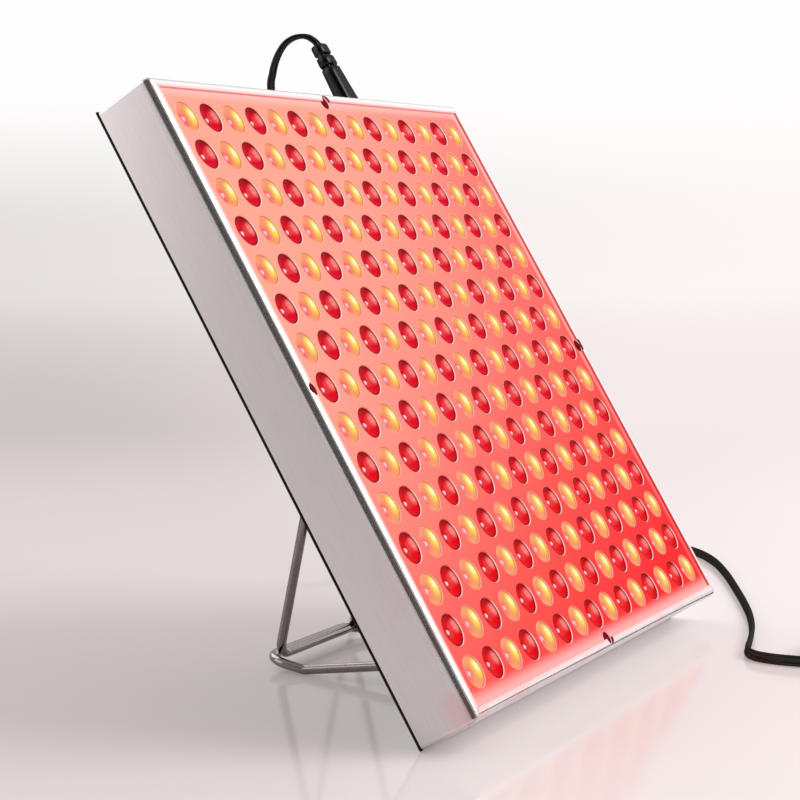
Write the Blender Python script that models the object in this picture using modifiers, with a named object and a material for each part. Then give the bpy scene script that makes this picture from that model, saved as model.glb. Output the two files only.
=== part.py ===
"""Light panel on a folding wire stand: a square case with 225 lamp cups and a flat mains lead."""
import math

import bmesh
import bpy
from mathutils import Matrix, Vector

mm = 0.001

# Case: a square shell of four mitred rails, leaning back from the upright
panel_width = 310 * mm
panel_height = 310 * mm
panel_depth = 31.5 * mm
panel_lean = 30
fit_gap = 0.3 * mm
overrun = 1 * mm
flat_angle = 0.001

# Rails, drawn from outside inwards
rail_wall = 1.6 * mm
lip_width = 5.6 * mm
lip_thickness = 1.2 * mm
rail_rounding = 3 * mm
ledge_width = 5 * mm
ledge_thickness = 1.2 * mm
flange_width = 9 * mm
flange_thickness = 1.5 * mm
mitre_gap = 0.3 * mm
hanging_hole_diameter = 7.2 * mm
hanging_hole_sides = 16

# Rear cover: a flat coated sheet with vent slots
cover_thickness = 1.2 * mm
vent_length = 26 * mm
vent_width = 3.2 * mm
vent_pitch = 9 * mm
vent_rows = 5
vent_sides = 8
vent_group_spacing = 70 * mm
cover_screws_per_side = 2
cover_screw_edge = 6.5 * mm

# Screws
screw_shank_diameter = 2.6 * mm
screw_hole_diameter = 3.3 * mm
screw_head_diameter = 5.6 * mm
screw_head_height = 1.7 * mm
cover_screw_length = 4.4 * mm
clip_screw_length = 4.6 * mm
screw_sides = 8
screw_crown_share = 0.7

# Reflector plate and lamp board
lamp_pitch = 19.4 * mm
lamp_edge = 8 * mm
plate_thickness = 4.2 * mm
cup_diameter = 16.4 * mm
cup_window = 4.6 * mm
cup_sides = 8
lamp_base = 3.6 * mm
lamp_top = 2.2 * mm
lamp_height = 2.3 * mm
board_thickness = 1.6 * mm
sheet_clearance = 0.5 * mm

# Corner keys inside the rails
key_leg = 24 * mm
key_width = 11 * mm
key_thickness = 2.2 * mm

# Supply board and what stands on it
supply_width = 120 * mm
supply_height = 46 * mm
supply_thickness = 1.6 * mm
supply_height_share = 226 / 310
supply_across = 20 * mm
standoff_diameter = 6 * mm
standoff_height = 3.4 * mm
standoff_sides = 6
standoff_inset = 6 * mm
transformer_width = 25 * mm
transformer_length = 22 * mm
transformer_height = 10.5 * mm
capacitor_diameter = 9.5 * mm
capacitor_length = 20 * mm
capacitor_sides = 12
lead_diameter = 3 * mm
lead_bend = 5 * mm
lead_straight = 10 * mm
lead_landing = 5 * mm

# Inlet in the top rail, two round pins in an oblong recess
inlet_across = 62 * mm
inlet_depth_share = 14.6 / 31.5
inlet_flange_width = 21 * mm
inlet_flange_depth = 13 * mm
inlet_flange_thickness = 1.5 * mm
inlet_body_width = 17 * mm
inlet_body_depth = 10.6 * mm
inlet_body_length = 15 * mm
inlet_recess_length = 9.6 * mm
inlet_pin_diameter = 2.3 * mm
inlet_pin_length = 8 * mm
inlet_pin_spacing = 8.6 * mm
inlet_pin_seat = 3 * mm

# Plug in the inlet
plug_nose_width = 13 * mm
plug_nose_depth = 7.8 * mm
plug_nose_length = 8.8 * mm
plug_recess_clearance = 0.4 * mm
plug_bore_diameter = 2.9 * mm
plug_body_width = 14.4 * mm
plug_body_depth = 8.9 * mm
plug_end_width = 10.4 * mm
plug_end_depth = 6.6 * mm
plug_body_length = 26.6 * mm
plug_groove_length = 1.5 * mm
plug_groove_depth = 1 * mm
plug_inner_rib_length = 5.3 * mm
plug_end_rib_length = 5.6 * mm
oblong_sides = 12

# Folding wire stand: a strut and a floor loop, both U shaped
wire_diameter = 4.8 * mm
wire_gap = 0.3 * mm
hinge_stand_off = 4.2 * mm
hinge_pin_length = 18 * mm
wire_end_bend = 6 * mm
wire_bend_steps = 4
stand_across = -5 * mm
strut_hinge_share = 187.6 / 310
strut_length_share = 157.4 / 310
strut_half_width = 38.7 * mm
strut_corner = 8 * mm
loop_hinge_on_panel = 20.5 * mm
loop_heel_share = 102.5 / 310
loop_toe = 22.5 * mm
loop_toe_rise = 18
loop_half_width = 44 * mm
loop_corner = 12 * mm
loop_heel_bend = 10 * mm

# Clips that hold the wires' pins to the cover
clip_width = 9 * mm
clip_sheet = 1 * mm
clip_pin_clearance = 0.4 * mm
clip_foot = 7.5 * mm
clip_side_gap = 1 * mm
clip_arch_steps = 6
floor_gap = 0.02 * mm
wire_resolution = 2

# Flat mains lead, drawn round at its mean thickness
cord_diameter = 4.2 * mm
cord_length = 1800 * mm
cord_straight = 1 * mm
cord_samples_per_point = 2
coil_turns = 3.25
coil_steps_per_turn = 24
coil_turn_gap = 0.7 * mm
coil_layer_gap = 1.6 * mm
coil_tail = 12 * mm
coil_rest_height = 2.8 * mm
coil_climb_share = 0.5
mains_plug_width = 24 * mm
mains_plug_length = 30 * mm
mains_plug_sleeve = 8.4 * mm
mains_plug_neck = 9 * mm
mains_plug_shoulder = 13.5 * mm
mains_blade_width = 6.3 * mm
mains_blade_thickness = 1.5 * mm
mains_blade_length = 17.5 * mm
mains_blade_spacing = 12.7 * mm
mains_blade_root = 6 * mm
neck_share = 0.6
plug_chamfer_share = 0.22

# The lead's own way from the plug to its coil, chosen by hand in metres
cord_route = [
    (0.0618, 0.1019, 0.3158), (0.0613, 0.1056, 0.3179), (0.0606, 0.1097, 0.3184),
    (0.0597, 0.1140, 0.3174), (0.0587, 0.1179, 0.3148), (0.0579, 0.1210, 0.3106),
    (0.0572, 0.1234, 0.3052), (0.0569, 0.1252, 0.2985), (0.0574, 0.1265, 0.2905),
    (0.0640, 0.1283, 0.2600), (0.0760, 0.1298, 0.2137), (0.0874, 0.1313, 0.1755),
    (0.1007, 0.1331, 0.1380), (0.1166, 0.1351, 0.1015), (0.1360, 0.1376, 0.0668),
    (0.1605, 0.1409, 0.0355), (0.1880, 0.1447, 0.0128), (0.2180, 0.1484, 0.0033),
    (0.2550, 0.1501, 0.0022), (0.2980, 0.1441, 0.0022), (0.3380, 0.1241, 0.0022),
    (0.3640, 0.0921, 0.0022), (0.3740, 0.0541, 0.0022), (0.3700, 0.0181, 0.0022),
    (0.3530, -0.0109, 0.0022), (0.3220, -0.0345, 0.0022), (0.2810, -0.0559, 0.0022),
    (0.2380, -0.0754, 0.0022), (0.1960, -0.0939, 0.0022), (0.1600, -0.1084, 0.0022),
    (0.1260, -0.1200, 0.0022), (0.0960, -0.1280, 0.0022), (0.0780, -0.1324, 0.0022),
    (0.0680, -0.1384, 0.0022), (0.0635, -0.1489, 0.0022), (0.0625, -0.1619, 0.0023),
    (0.0625, -0.1759, 0.0026), (0.0625, -0.1880, 0.0028),
]

# Values that follow from the sizes above
lean = math.radians(panel_lean)
front_of_plate = panel_depth - lip_thickness - fit_gap
back_of_plate = front_of_plate - plate_thickness
front_of_board = back_of_plate - fit_gap
back_of_board = front_of_board - board_thickness
top_of_ledge = back_of_board - fit_gap
back_of_rail = cover_thickness + fit_gap
wire_radius = wire_diameter / 2
sheet_inset = rail_wall + sheet_clearance
inner_width = panel_width - 2 * sheet_inset
inner_height = panel_height - 2 * sheet_inset
top_back_edge = panel_height * math.sin(lean)
front_foot_edge = (
    (panel_depth - rail_rounding) * math.cos(lean) - rail_rounding * math.sin(lean) + rail_rounding
)
half_depth_on_table = (top_back_edge - front_foot_edge) / 2
lamps_across = int((panel_width - 2 * lamp_edge) / lamp_pitch)
lamps_up = int((panel_height - 2 * lamp_edge) / lamp_pitch)
supply_on_panel = panel_height * supply_height_share
inlet_from_rear = panel_depth * inlet_depth_share
strut_hinge_on_panel = panel_height * strut_hinge_share
strut_length = panel_height * strut_length_share
loop_heel = panel_height * loop_heel_share
parts = bpy.data.collections.new("light_panel")
cutters = bpy.data.collections.new("cutters")


def material(name, colour, metallic, roughness):
    finish = bpy.data.materials.new(name)
    finish.use_nodes = True
    shader = finish.node_tree.nodes["Principled BSDF"]
    shader.inputs["Base Color"].default_value = (*colour, 1)
    shader.inputs["Metallic"].default_value = metallic
    shader.inputs["Roughness"].default_value = roughness
    return finish


def add_object(name, mesh, finish=None, parent=None, collection=None):
    """A named object for one piece, or for a cutter when it has no finish."""
    piece = bpy.data.objects.new(name, mesh)
    if finish is None:
        collection = cutters
        piece.hide_render = True
        piece.display_type = "WIRE"
    else:
        mesh.materials.append(finish)
    (collection or parts).objects.link(piece)
    piece.parent = parent
    return piece


def mesh_from(bm, name):
    bmesh.ops.recalc_face_normals(bm, faces=bm.faces)
    mesh = bpy.data.meshes.new(name)
    bm.to_mesh(mesh)
    bm.free()
    return mesh


def block(bm, low, high):
    """A box between two corners, added to a mesh."""
    low, high = Vector(low), Vector(high)
    place = Matrix.Translation((low + high) / 2) @ Matrix.Diagonal((*(high - low), 1))
    bmesh.ops.create_cube(bm, size=1, matrix=place)


def rod(bm, start, end, diameter, sides, end_diameter=None):
    """A cylinder or cone between two points, added to a mesh."""
    start, end = Vector(start), Vector(end)
    line = end - start
    turn = Vector((0, 0, 1)).rotation_difference(line).to_matrix().to_4x4()
    place = Matrix.Translation((start + end) / 2) @ turn
    tip = diameter if end_diameter is None else end_diameter
    bmesh.ops.create_cone(
        bm, cap_ends=True, segments=sides, radius1=diameter / 2, radius2=tip / 2,
        depth=line.length, matrix=place,
    )


def as_mesh(curve_object, merge=0.01 * mm):
    """The closed mesh of a curve, with its caps welded, in place of the curve."""
    depsgraph = bpy.context.evaluated_depsgraph_get()
    mesh = bpy.data.meshes.new_from_object(curve_object.evaluated_get(depsgraph))
    bm = bmesh.new()
    bm.from_mesh(mesh)
    bmesh.ops.remove_doubles(bm, verts=bm.verts, dist=merge)
    bmesh.ops.recalc_face_normals(bm, faces=bm.faces)
    bm.to_mesh(mesh)
    bm.free()
    bpy.data.objects.remove(curve_object)
    return mesh


def flat_mesh(name, outlines, thickness):
    """A plate of the given outlines, the first its edge and the rest its holes, centred on z."""
    curve = bpy.data.curves.new(name, "CURVE")
    curve.dimensions = "2D"
    curve.fill_mode = "BOTH"
    curve.extrude = thickness / 2
    for outline in outlines:
        spline = curve.splines.new("POLY")
        spline.points.add(len(outline) - 1)
        for point, place in zip(spline.points, outline):
            point.co = (place[0], place[1], 0, 1)
        spline.use_cyclic_u = True
    holder = bpy.data.objects.new(name, curve)
    bpy.context.scene.collection.objects.link(holder)
    return as_mesh(holder)


def tube(name, points, diameter, resolution, finish, parent=None):
    """A round wire along a list of points, with its ends closed."""
    curve = bpy.data.curves.new(name, "CURVE")
    curve.dimensions = "3D"
    curve.bevel_depth = diameter / 2
    curve.bevel_resolution = resolution
    curve.use_fill_caps = True
    spline = curve.splines.new("POLY")
    spline.points.add(len(points) - 1)
    for point, place in zip(spline.points, points):
        point.co = (*place, 1)
    curve.materials.append(finish)
    piece = bpy.data.objects.new(name, curve)
    parts.objects.link(piece)
    piece.parent = parent
    return piece


def circle(centre, diameter, sides):
    turns = [2 * math.pi * (k + 0.5) / sides for k in range(sides)]
    return [
        (centre[0] + diameter / 2 * math.cos(t), centre[1] + diameter / 2 * math.sin(t))
        for t in turns
    ]


def rectangle(width, height, centre=(0, 0)):
    return [
        (centre[0] + x * width / 2, centre[1] + y * height / 2)
        for x, y in ((-1, -1), (1, -1), (1, 1), (-1, 1))
    ]


def oblong(width, depth, sides=oblong_sides):
    """A slot outline with round ends, its long way along x."""
    half = max(width - depth, 0) / 2
    steps = sides // 2
    ring = []
    for end in (1, -1):
        for k in range(steps):
            turn = math.pi * (k / (steps - 1) - 0.5) + (0 if end > 0 else math.pi)
            ring.append((end * half + depth / 2 * math.cos(turn), depth / 2 * math.sin(turn)))
    return ring


def subtract(piece, cutter):
    cut = piece.modifiers.new(cutter.name, "BOOLEAN")
    cut.operation = "DIFFERENCE"
    cut.solver = "EXACT"
    cut.object = cutter


def join(piece, other):
    union = piece.modifiers.new(other.name, "BOOLEAN")
    union.operation = "UNION"
    union.solver = "EXACT"
    union.object = other


def round_corners(corners, radii, steps):
    """A path through straight runs whose inner corners are rounded, as bent wire is."""
    points = [Vector(corners[0])]
    for before, here, after, radius in zip(corners, corners[1:], corners[2:], radii):
        here = Vector(here)
        back = (Vector(before) - here).normalized()
        on = (Vector(after) - here).normalized()
        half = back.angle(on) / 2
        reach = radius / math.tan(half)
        centre = here + (back + on).normalized() * (radius / math.sin(half))
        start = here + back * reach - centre
        sweep = math.pi - 2 * half
        axis = start.cross(here + on * reach - centre)
        for k in range(steps + 1):
            points.append(centre + Matrix.Rotation(sweep * k / steps, 3, axis) @ start)
    points.append(Vector(corners[-1]))
    return points


def on_panel(across, up, out=0):
    """A place on the leaning panel in world coordinates: across, up from its foot, out of its back."""
    return panel.matrix_world @ Vector((across, up, out))


def circles_meet(first, reach, second, gap):
    """The lower point at one distance from the first point and at another from the second."""
    span = second - first
    along = (reach ** 2 - gap ** 2 + span.length ** 2) / (2 * span.length)
    aside = math.sqrt(reach ** 2 - along ** 2)
    forward = span.normalized()
    return first + forward * along + Vector((forward.y, -forward.x)) * aside


# Materials, by what each piece is made of
def make_materials():
    return {
        "rail": material("anodised_rail", (0.76, 0.75, 0.76), 0.9, 0.35),
        "cover": material("black_sheet", (0.02, 0.02, 0.022), 0.3, 0.45),
        "plate": material("glowing_plate", (0.95, 0.33, 0.31), 0, 0.35),
        "board": material("lamp_board", (0.9, 0.88, 0.86), 0, 0.4),
        "key": material("corner_zinc", (0.6, 0.6, 0.62), 1, 0.4),
        "screw": material("zinc_screw", (0.65, 0.65, 0.66), 1, 0.3),
        "clip": material("clip_steel", (0.5, 0.5, 0.52), 1, 0.35),
        "wire": material("chromed_wire", (0.62, 0.61, 0.62), 1, 0.18),
        "circuit": material("circuit_board", (0.05, 0.28, 0.12), 0, 0.45),
        "ferrite": material("ferrite_block", (0.12, 0.11, 0.1), 0, 0.6),
        "capacitor": material("capacitor_sleeve", (0.03, 0.04, 0.1), 0, 0.3),
        "standoff": material("nylon_post", (0.8, 0.8, 0.76), 0, 0.5),
        "moulding": material("black_moulding", (0.02, 0.02, 0.02), 0, 0.4),
        "lead": material("inner_lead", (0.55, 0.04, 0.04), 0, 0.4),
        "cord": material("cord_vinyl", (0.015, 0.013, 0.013), 0, 0.3),
        "blade": material("plated_blade", (0.78, 0.76, 0.72), 1, 0.25),
    }


def rail_outline():
    """The rail's section: x inwards from the outer face, y from back to front."""
    steps = 4
    section = [(0, back_of_rail)]
    for k in range(steps + 1):
        turn = math.pi / 2 * k / steps
        section.append((
            rail_rounding * (1 - math.cos(turn)),
            panel_depth - rail_rounding * (1 - math.sin(turn)),
        ))
    lip_back = panel_depth - lip_thickness
    ledge_back = top_of_ledge - ledge_thickness
    flange_front = back_of_rail + flange_thickness
    section += [
        (lip_width, panel_depth), (lip_width, lip_back), (rail_wall, lip_back),
        (rail_wall, top_of_ledge), (ledge_width, top_of_ledge), (ledge_width, ledge_back),
        (rail_wall, ledge_back), (rail_wall, flange_front), (flange_width, flange_front),
        (flange_width, back_of_rail),
    ]
    return section


def screw_places(length):
    """Where the cover screws stand along one side, from its middle."""
    return [
        length * ((k + 0.5) / cover_screws_per_side - 0.5)
        for k in range(cover_screws_per_side)
    ]


def make_rail(name, length, across, quarter_turns):
    """One side of the case, drawn along x at the foot of the panel and turned to its place."""
    mesh = flat_mesh(name, [rail_outline()], length)
    stand = Matrix(((0, 0, 1, 0), (1, 0, 0, 0), (0, 1, 0, 0), (0, 0, 0, 1)))
    mesh.transform(Matrix.Translation((0, -across / 2, 0)) @ stand)
    bm = bmesh.new()
    bm.from_mesh(mesh)
    for side in (1, -1):
        corner = Vector((side * (length / 2 - mitre_gap / 2), -across / 2, 0))
        cut = bmesh.ops.bisect_plane(
            bm, geom=bm.verts[:] + bm.edges[:] + bm.faces[:], dist=0.001 * mm,
            plane_co=corner, plane_no=Vector((side, 1, 0)).normalized(), clear_outer=True,
        )
        edges = [item for item in cut["geom_cut"] if isinstance(item, bmesh.types.BMEdge)]
        bmesh.ops.edgeloop_fill(bm, edges=edges)
    bmesh.ops.recalc_face_normals(bm, faces=bm.faces)
    bm.to_mesh(mesh)
    bm.free()
    rail = add_object(name, mesh, finishes["rail"], panel)
    rail.location = (0, panel_height / 2, 0)
    rail.rotation_euler = (0, 0, quarter_turns * math.pi / 2)
    bm = bmesh.new()
    lip_edge = -across / 2 + lip_width
    rod(
        bm, (0, lip_edge, panel_depth - lip_thickness - overrun),
        (0, lip_edge, panel_depth + overrun), hanging_hole_diameter, hanging_hole_sides,
    )
    for place in screw_places(length):
        hole = Vector((place, -across / 2 + cover_screw_edge, back_of_rail))
        rod(
            bm, hole - Vector((0, 0, overrun)),
            hole + Vector((0, 0, flange_thickness + overrun)), screw_hole_diameter, screw_sides,
        )
    holes = add_object(name + "_holes", mesh_from(bm, name + "_holes"), None, panel)
    holes.location = rail.location
    holes.rotation_euler = rail.rotation_euler
    subtract(rail, holes)
    return rail


def make_rails():
    make_rail("frame_bottom", panel_width, panel_height, 0)
    make_rail("frame_right", panel_height, panel_width, 1)
    top = make_rail("frame_top", panel_width, panel_height, 2)
    make_rail("frame_left", panel_height, panel_width, 3)
    bm = bmesh.new()
    half_width = inlet_body_width / 2 + fit_gap
    half_depth = inlet_body_depth / 2 + fit_gap
    block(
        bm,
        (inlet_across - half_width, panel_height - rail_wall - overrun, inlet_from_rear - half_depth),
        (inlet_across + half_width, panel_height + overrun, inlet_from_rear + half_depth),
    )
    subtract(top, add_object("inlet_opening", mesh_from(bm, "inlet_opening"), None, panel))


def make_corner_keys():
    """Angle pieces that tie the mitred rails together from inside."""
    seat = rail_wall + fit_gap
    low = back_of_rail + flange_thickness + fit_gap
    angle = [
        (0, 0), (key_leg, 0), (key_leg, key_thickness), (key_thickness, key_thickness),
        (key_thickness, key_leg), (0, key_leg),
    ]
    corners = (("bottom_left", -1, -1), ("bottom_right", 1, -1), ("top_right", 1, 1), ("top_left", -1, 1))
    for turns, (name, across, up) in enumerate(corners):
        mesh = flat_mesh("corner_key_" + name, [angle], key_width)
        key = add_object("corner_key_" + name, mesh, finishes["key"], panel)
        key.location = (
            across * (panel_width / 2 - seat), panel_height / 2 + up * (panel_height / 2 - seat),
            low + key_width / 2,
        )
        key.rotation_euler = (0, 0, turns * math.pi / 2)


def lamp_grid(holder):
    """Repeats one piece over the grid of lamps, from the lowest lamp at the left."""
    for axis, count in enumerate((lamps_across, lamps_up)):
        rows = holder.modifiers.new("row" if axis == 0 else "column", "ARRAY")
        rows.count = count
        rows.use_relative_offset = False
        rows.use_constant_offset = True
        rows.constant_offset_displace = [lamp_pitch if k == axis else 0 for k in range(3)]
    holder.location = (
        -lamp_pitch * (lamps_across - 1) / 2, panel_height / 2 - lamp_pitch * (lamps_up - 1) / 2, 0,
    )


def hanging_hole_cutter(name, low, high):
    """Four round holes at the lip's inner edge, in the middle of each side."""
    bm = bmesh.new()
    half_width = panel_width / 2 - lip_width
    half_height = panel_height / 2 - lip_width
    for across, up in ((0, -1), (1, 0), (0, 1), (-1, 0)):
        place = Vector((across * half_width, panel_height / 2 + up * half_height, 0))
        rod(
            bm, place + Vector((0, 0, low)), place + Vector((0, 0, high)),
            hanging_hole_diameter, hanging_hole_sides,
        )
    return add_object(name, mesh_from(bm, name), None, panel)


def make_reflector():
    """The moulded plate: a cup for each lamp narrows from an eight-sided mouth to a square window."""
    bm = bmesh.new()
    block(
        bm, (-inner_width / 2, sheet_inset, back_of_plate),
        (inner_width / 2, sheet_inset + inner_height, front_of_plate),
    )
    plate = add_object("reflector_plate", mesh_from(bm, "reflector_plate"), finishes["plate"], panel)
    widening = 1 + overrun / plate_thickness * (1 - cup_window / cup_diameter)
    bm = bmesh.new()
    for x, y in circle((0, 0), cup_diameter * widening, cup_sides):
        bm.verts.new((x, y, front_of_plate + overrun))
    for x, y in circle((0, 0), cup_window * math.sqrt(2), 4):
        bm.verts.new((x, y, back_of_plate))
    bmesh.ops.convex_hull(bm, input=bm.verts)
    bmesh.ops.dissolve_limit(bm, angle_limit=flat_angle, verts=bm.verts, edges=bm.edges)
    window = min(bm.faces, key=lambda face: face.calc_center_median().z)
    through = bmesh.ops.extrude_face_region(bm, geom=[window])
    sunk = [item for item in through["geom"] if isinstance(item, bmesh.types.BMVert)]
    bmesh.ops.translate(bm, verts=sunk, vec=(0, 0, -overrun))
    bm.faces.remove(window)
    cups = add_object("lamp_cups", mesh_from(bm, "lamp_cups"), None, panel)
    lamp_grid(cups)
    subtract(plate, hanging_hole_cutter(
        "plate_notches", back_of_plate - overrun, front_of_plate + overrun))
    subtract(plate, cups)


def make_lamp_board():
    """The metal-backed board with one lamp standing in each window of the plate."""
    bm = bmesh.new()
    block(
        bm, (-inner_width / 2, sheet_inset, back_of_board),
        (inner_width / 2, sheet_inset + inner_height, front_of_board),
    )
    board = add_object("lamp_board", mesh_from(bm, "lamp_board"), finishes["board"], panel)
    bm = bmesh.new()
    diagonal = math.sqrt(2)
    rod(
        bm, (0, 0, front_of_board - board_thickness / 2), (0, 0, front_of_board + lamp_height),
        lamp_base * diagonal, 4, lamp_top * diagonal,
    )
    lamps = add_object("lamps", mesh_from(bm, "lamps"), None, panel)
    lamp_grid(lamps)
    join(board, lamps)


def clip_outer_radius():
    return wire_radius + clip_pin_clearance + clip_sheet


def clip_screw_offset():
    return clip_outer_radius() + clip_foot / 2


def clip_places():
    """Each clip: its name, its side, its hinge's height on the panel and its inner end across."""
    reach = wire_end_bend + clip_side_gap
    return [
        (kind + side_name, side, height, half + reach)
        for kind, height, half in (
            ("strut_clip_", strut_hinge_on_panel, strut_half_width),
            ("loop_clip_", loop_hinge_on_panel, loop_half_width),
        )
        for side_name, side in (("left", -1), ("right", 1))
    ]


def clip_screw_places():
    return [
        (stand_across + side * (start + clip_width / 2), height + way * clip_screw_offset())
        for name, side, height, start in clip_places() for way in (-1, 1)
    ]


def cover_screw_places():
    places = []
    for along in screw_places(panel_width):
        places.append((along, cover_screw_edge))
        places.append((along, panel_height - cover_screw_edge))
    for along in screw_places(panel_height):
        places.append((cover_screw_edge - panel_width / 2, panel_height / 2 + along))
        places.append((panel_width / 2 - cover_screw_edge, panel_height / 2 + along))
    return places


def make_cover():
    """The flat sheet that closes the back, with its screw holes and two groups of vents."""
    outlines = [rectangle(panel_width, panel_height, (0, panel_height / 2))]
    for place in cover_screw_places() + clip_screw_places():
        outlines.append(circle(place, screw_hole_diameter, screw_sides))
    for across in (-1, 1):
        for row in range(vent_rows):
            shift_x = across * vent_group_spacing / 2 + supply_across
            shift_y = supply_on_panel + (row - (vent_rows - 1) / 2) * vent_pitch
            outlines.append([
                (x + shift_x, y + shift_y) for x, y in oblong(vent_length, vent_width, vent_sides)
            ])
    mesh = flat_mesh("rear_cover", outlines, cover_thickness)
    cover = add_object("rear_cover", mesh, finishes["cover"], panel)
    cover.location = (0, 0, cover_thickness / 2)


def turned_mesh(name, profile, sides):
    """A closed turned shape from its profile of (radius, height) pairs, which ends on the axis."""
    bm = bmesh.new()
    line = [bm.verts.new((radius, 0, height)) for radius, height in profile]
    edges = [bm.edges.new(pair) for pair in zip(line, line[1:])]
    bmesh.ops.spin(
        bm, geom=line + edges, cent=(0, 0, 0), axis=(0, 0, 1), angle=2 * math.pi,
        steps=sides, use_duplicate=False,
    )
    bmesh.ops.remove_doubles(bm, verts=bm.verts, dist=0.005 * mm)
    return mesh_from(bm, name)


def make_screws(name, places, seat, length):
    """Pan-head screws with their heads behind the seat and their shanks into the panel."""
    head_radius = screw_head_diameter / 2
    shank_radius = screw_shank_diameter / 2
    mesh = turned_mesh(name, [
        (0, length), (shank_radius, length), (shank_radius, 0), (head_radius, 0),
        (head_radius, -screw_head_height / 2),
        (head_radius * screw_crown_share, -screw_head_height), (0, -screw_head_height),
    ], screw_sides)
    mesh.materials.append(finishes["screw"])
    for number, place in enumerate(places, 1):
        screw = bpy.data.objects.new(f"{name}_{number}", mesh)
        parts.objects.link(screw)
        screw.parent = panel
        screw.location = (*place, seat)


def make_clips():
    """Sheet saddles over the wires' pins, each with two feet on the cover."""
    outer = clip_outer_radius()
    inner = outer - clip_sheet
    centre = -hinge_stand_off
    foot_seat = -fit_gap
    reach = outer + clip_foot

    def half_arch(radius, side):
        turns = [math.pi * k / clip_arch_steps for k in range(clip_arch_steps + 1)]
        return [
            (side * radius * math.cos(t), centre - radius * math.sin(t)) for t in turns
        ]

    outline = [(-reach, foot_seat), (-inner, foot_seat)]
    outline += half_arch(inner, -1)
    outline += [(inner, foot_seat), (reach, foot_seat), (reach, foot_seat - clip_sheet)]
    outline += [(outer, foot_seat - clip_sheet)]
    outline += half_arch(outer, 1)
    outline += [(-outer, foot_seat - clip_sheet), (-reach, foot_seat - clip_sheet)]
    stand = Matrix(((0, 0, 1, 0), (1, 0, 0, 0), (0, 1, 0, 0), (0, 0, 0, 1)))
    for name, side, height, start in clip_places():
        mesh = flat_mesh(name, [outline], clip_width)
        mesh.transform(stand)
        clip = add_object(name, mesh, finishes["clip"], panel)
        clip.location = (stand_across + side * (start + clip_width / 2), height, 0)
        bm = bmesh.new()
        for way in (-1, 1):
            rod(
                bm, (0, way * clip_screw_offset(), foot_seat - clip_sheet - overrun),
                (0, way * clip_screw_offset(), foot_seat + overrun), screw_hole_diameter, screw_sides,
            )
        holes = add_object(name + "_holes", mesh_from(bm, name + "_holes"), None, panel)
        holes.location = clip.location
        subtract(clip, holes)


def wire_u(half_width, legs, corner, heel_bend):
    """A U of bent wire from pin to pin: legs is its path away from the hinge as (out, up) pairs."""
    pin = half_width + hinge_pin_length
    side = [(pin, 0, 0), (half_width, 0, 0)] + [(half_width, out, up) for out, up in legs]
    radii = [wire_end_bend] + [heel_bend] * (len(legs) - 1) + [corner]
    other = [(-x, y, z) for x, y, z in reversed(side)]
    return round_corners(side + other, radii + radii[::-1], wire_bend_steps)


def stand_geometry():
    """The stand at rest, in the upright plane: both hinges, and where each wire points from its own."""
    strut_hinge = on_panel(0, strut_hinge_on_panel, -hinge_stand_off).yz
    loop_hinge = on_panel(0, loop_hinge_on_panel, -hinge_stand_off).yz
    heel_lift = loop_heel_bend * (1 / math.cos(math.radians(loop_toe_rise) / 2) - 1)
    drop = loop_hinge.y - wire_radius - floor_gap + heel_lift
    leg_turn = -math.asin(drop / loop_heel)
    toe_turn = leg_turn + math.radians(loop_toe_rise)
    heel = loop_hinge + loop_heel * Vector((math.cos(leg_turn), math.sin(leg_turn)))
    toe = heel + loop_toe * Vector((math.cos(toe_turn), math.sin(toe_turn)))
    foot = circles_meet(strut_hinge, strut_length, toe, wire_diameter + wire_gap)
    strut_turn = math.atan2(foot.y - strut_hinge.y, foot.x - strut_hinge.x)
    return strut_hinge, strut_turn, loop_hinge, leg_turn


def hinge_axis(name, place, turn):
    axis = bpy.data.objects.new(name, None)
    parts.objects.link(axis)
    axis.location = (stand_across, place.x, place.y)
    axis.rotation_euler = (turn, 0, 0)
    return axis


def make_stand():
    strut_hinge, strut_turn, loop_hinge, leg_turn = stand_geometry()
    strut_axis = hinge_axis("strut_axis", strut_hinge, strut_turn)
    strut = wire_u(strut_half_width, [(strut_length, 0)], strut_corner, 0)
    tube("stand_strut", strut, wire_diameter, wire_resolution, finishes["wire"], strut_axis)
    loop_axis = hinge_axis("loop_axis", loop_hinge, leg_turn)
    rise = math.radians(loop_toe_rise)
    legs = [
        (loop_heel, 0),
        (loop_heel + loop_toe * math.cos(rise), loop_toe * math.sin(rise)),
    ]
    loop = wire_u(loop_half_width, legs, loop_corner, loop_heel_bend)
    tube("floor_loop", loop, wire_diameter, wire_resolution, finishes["wire"], loop_axis)


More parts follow.
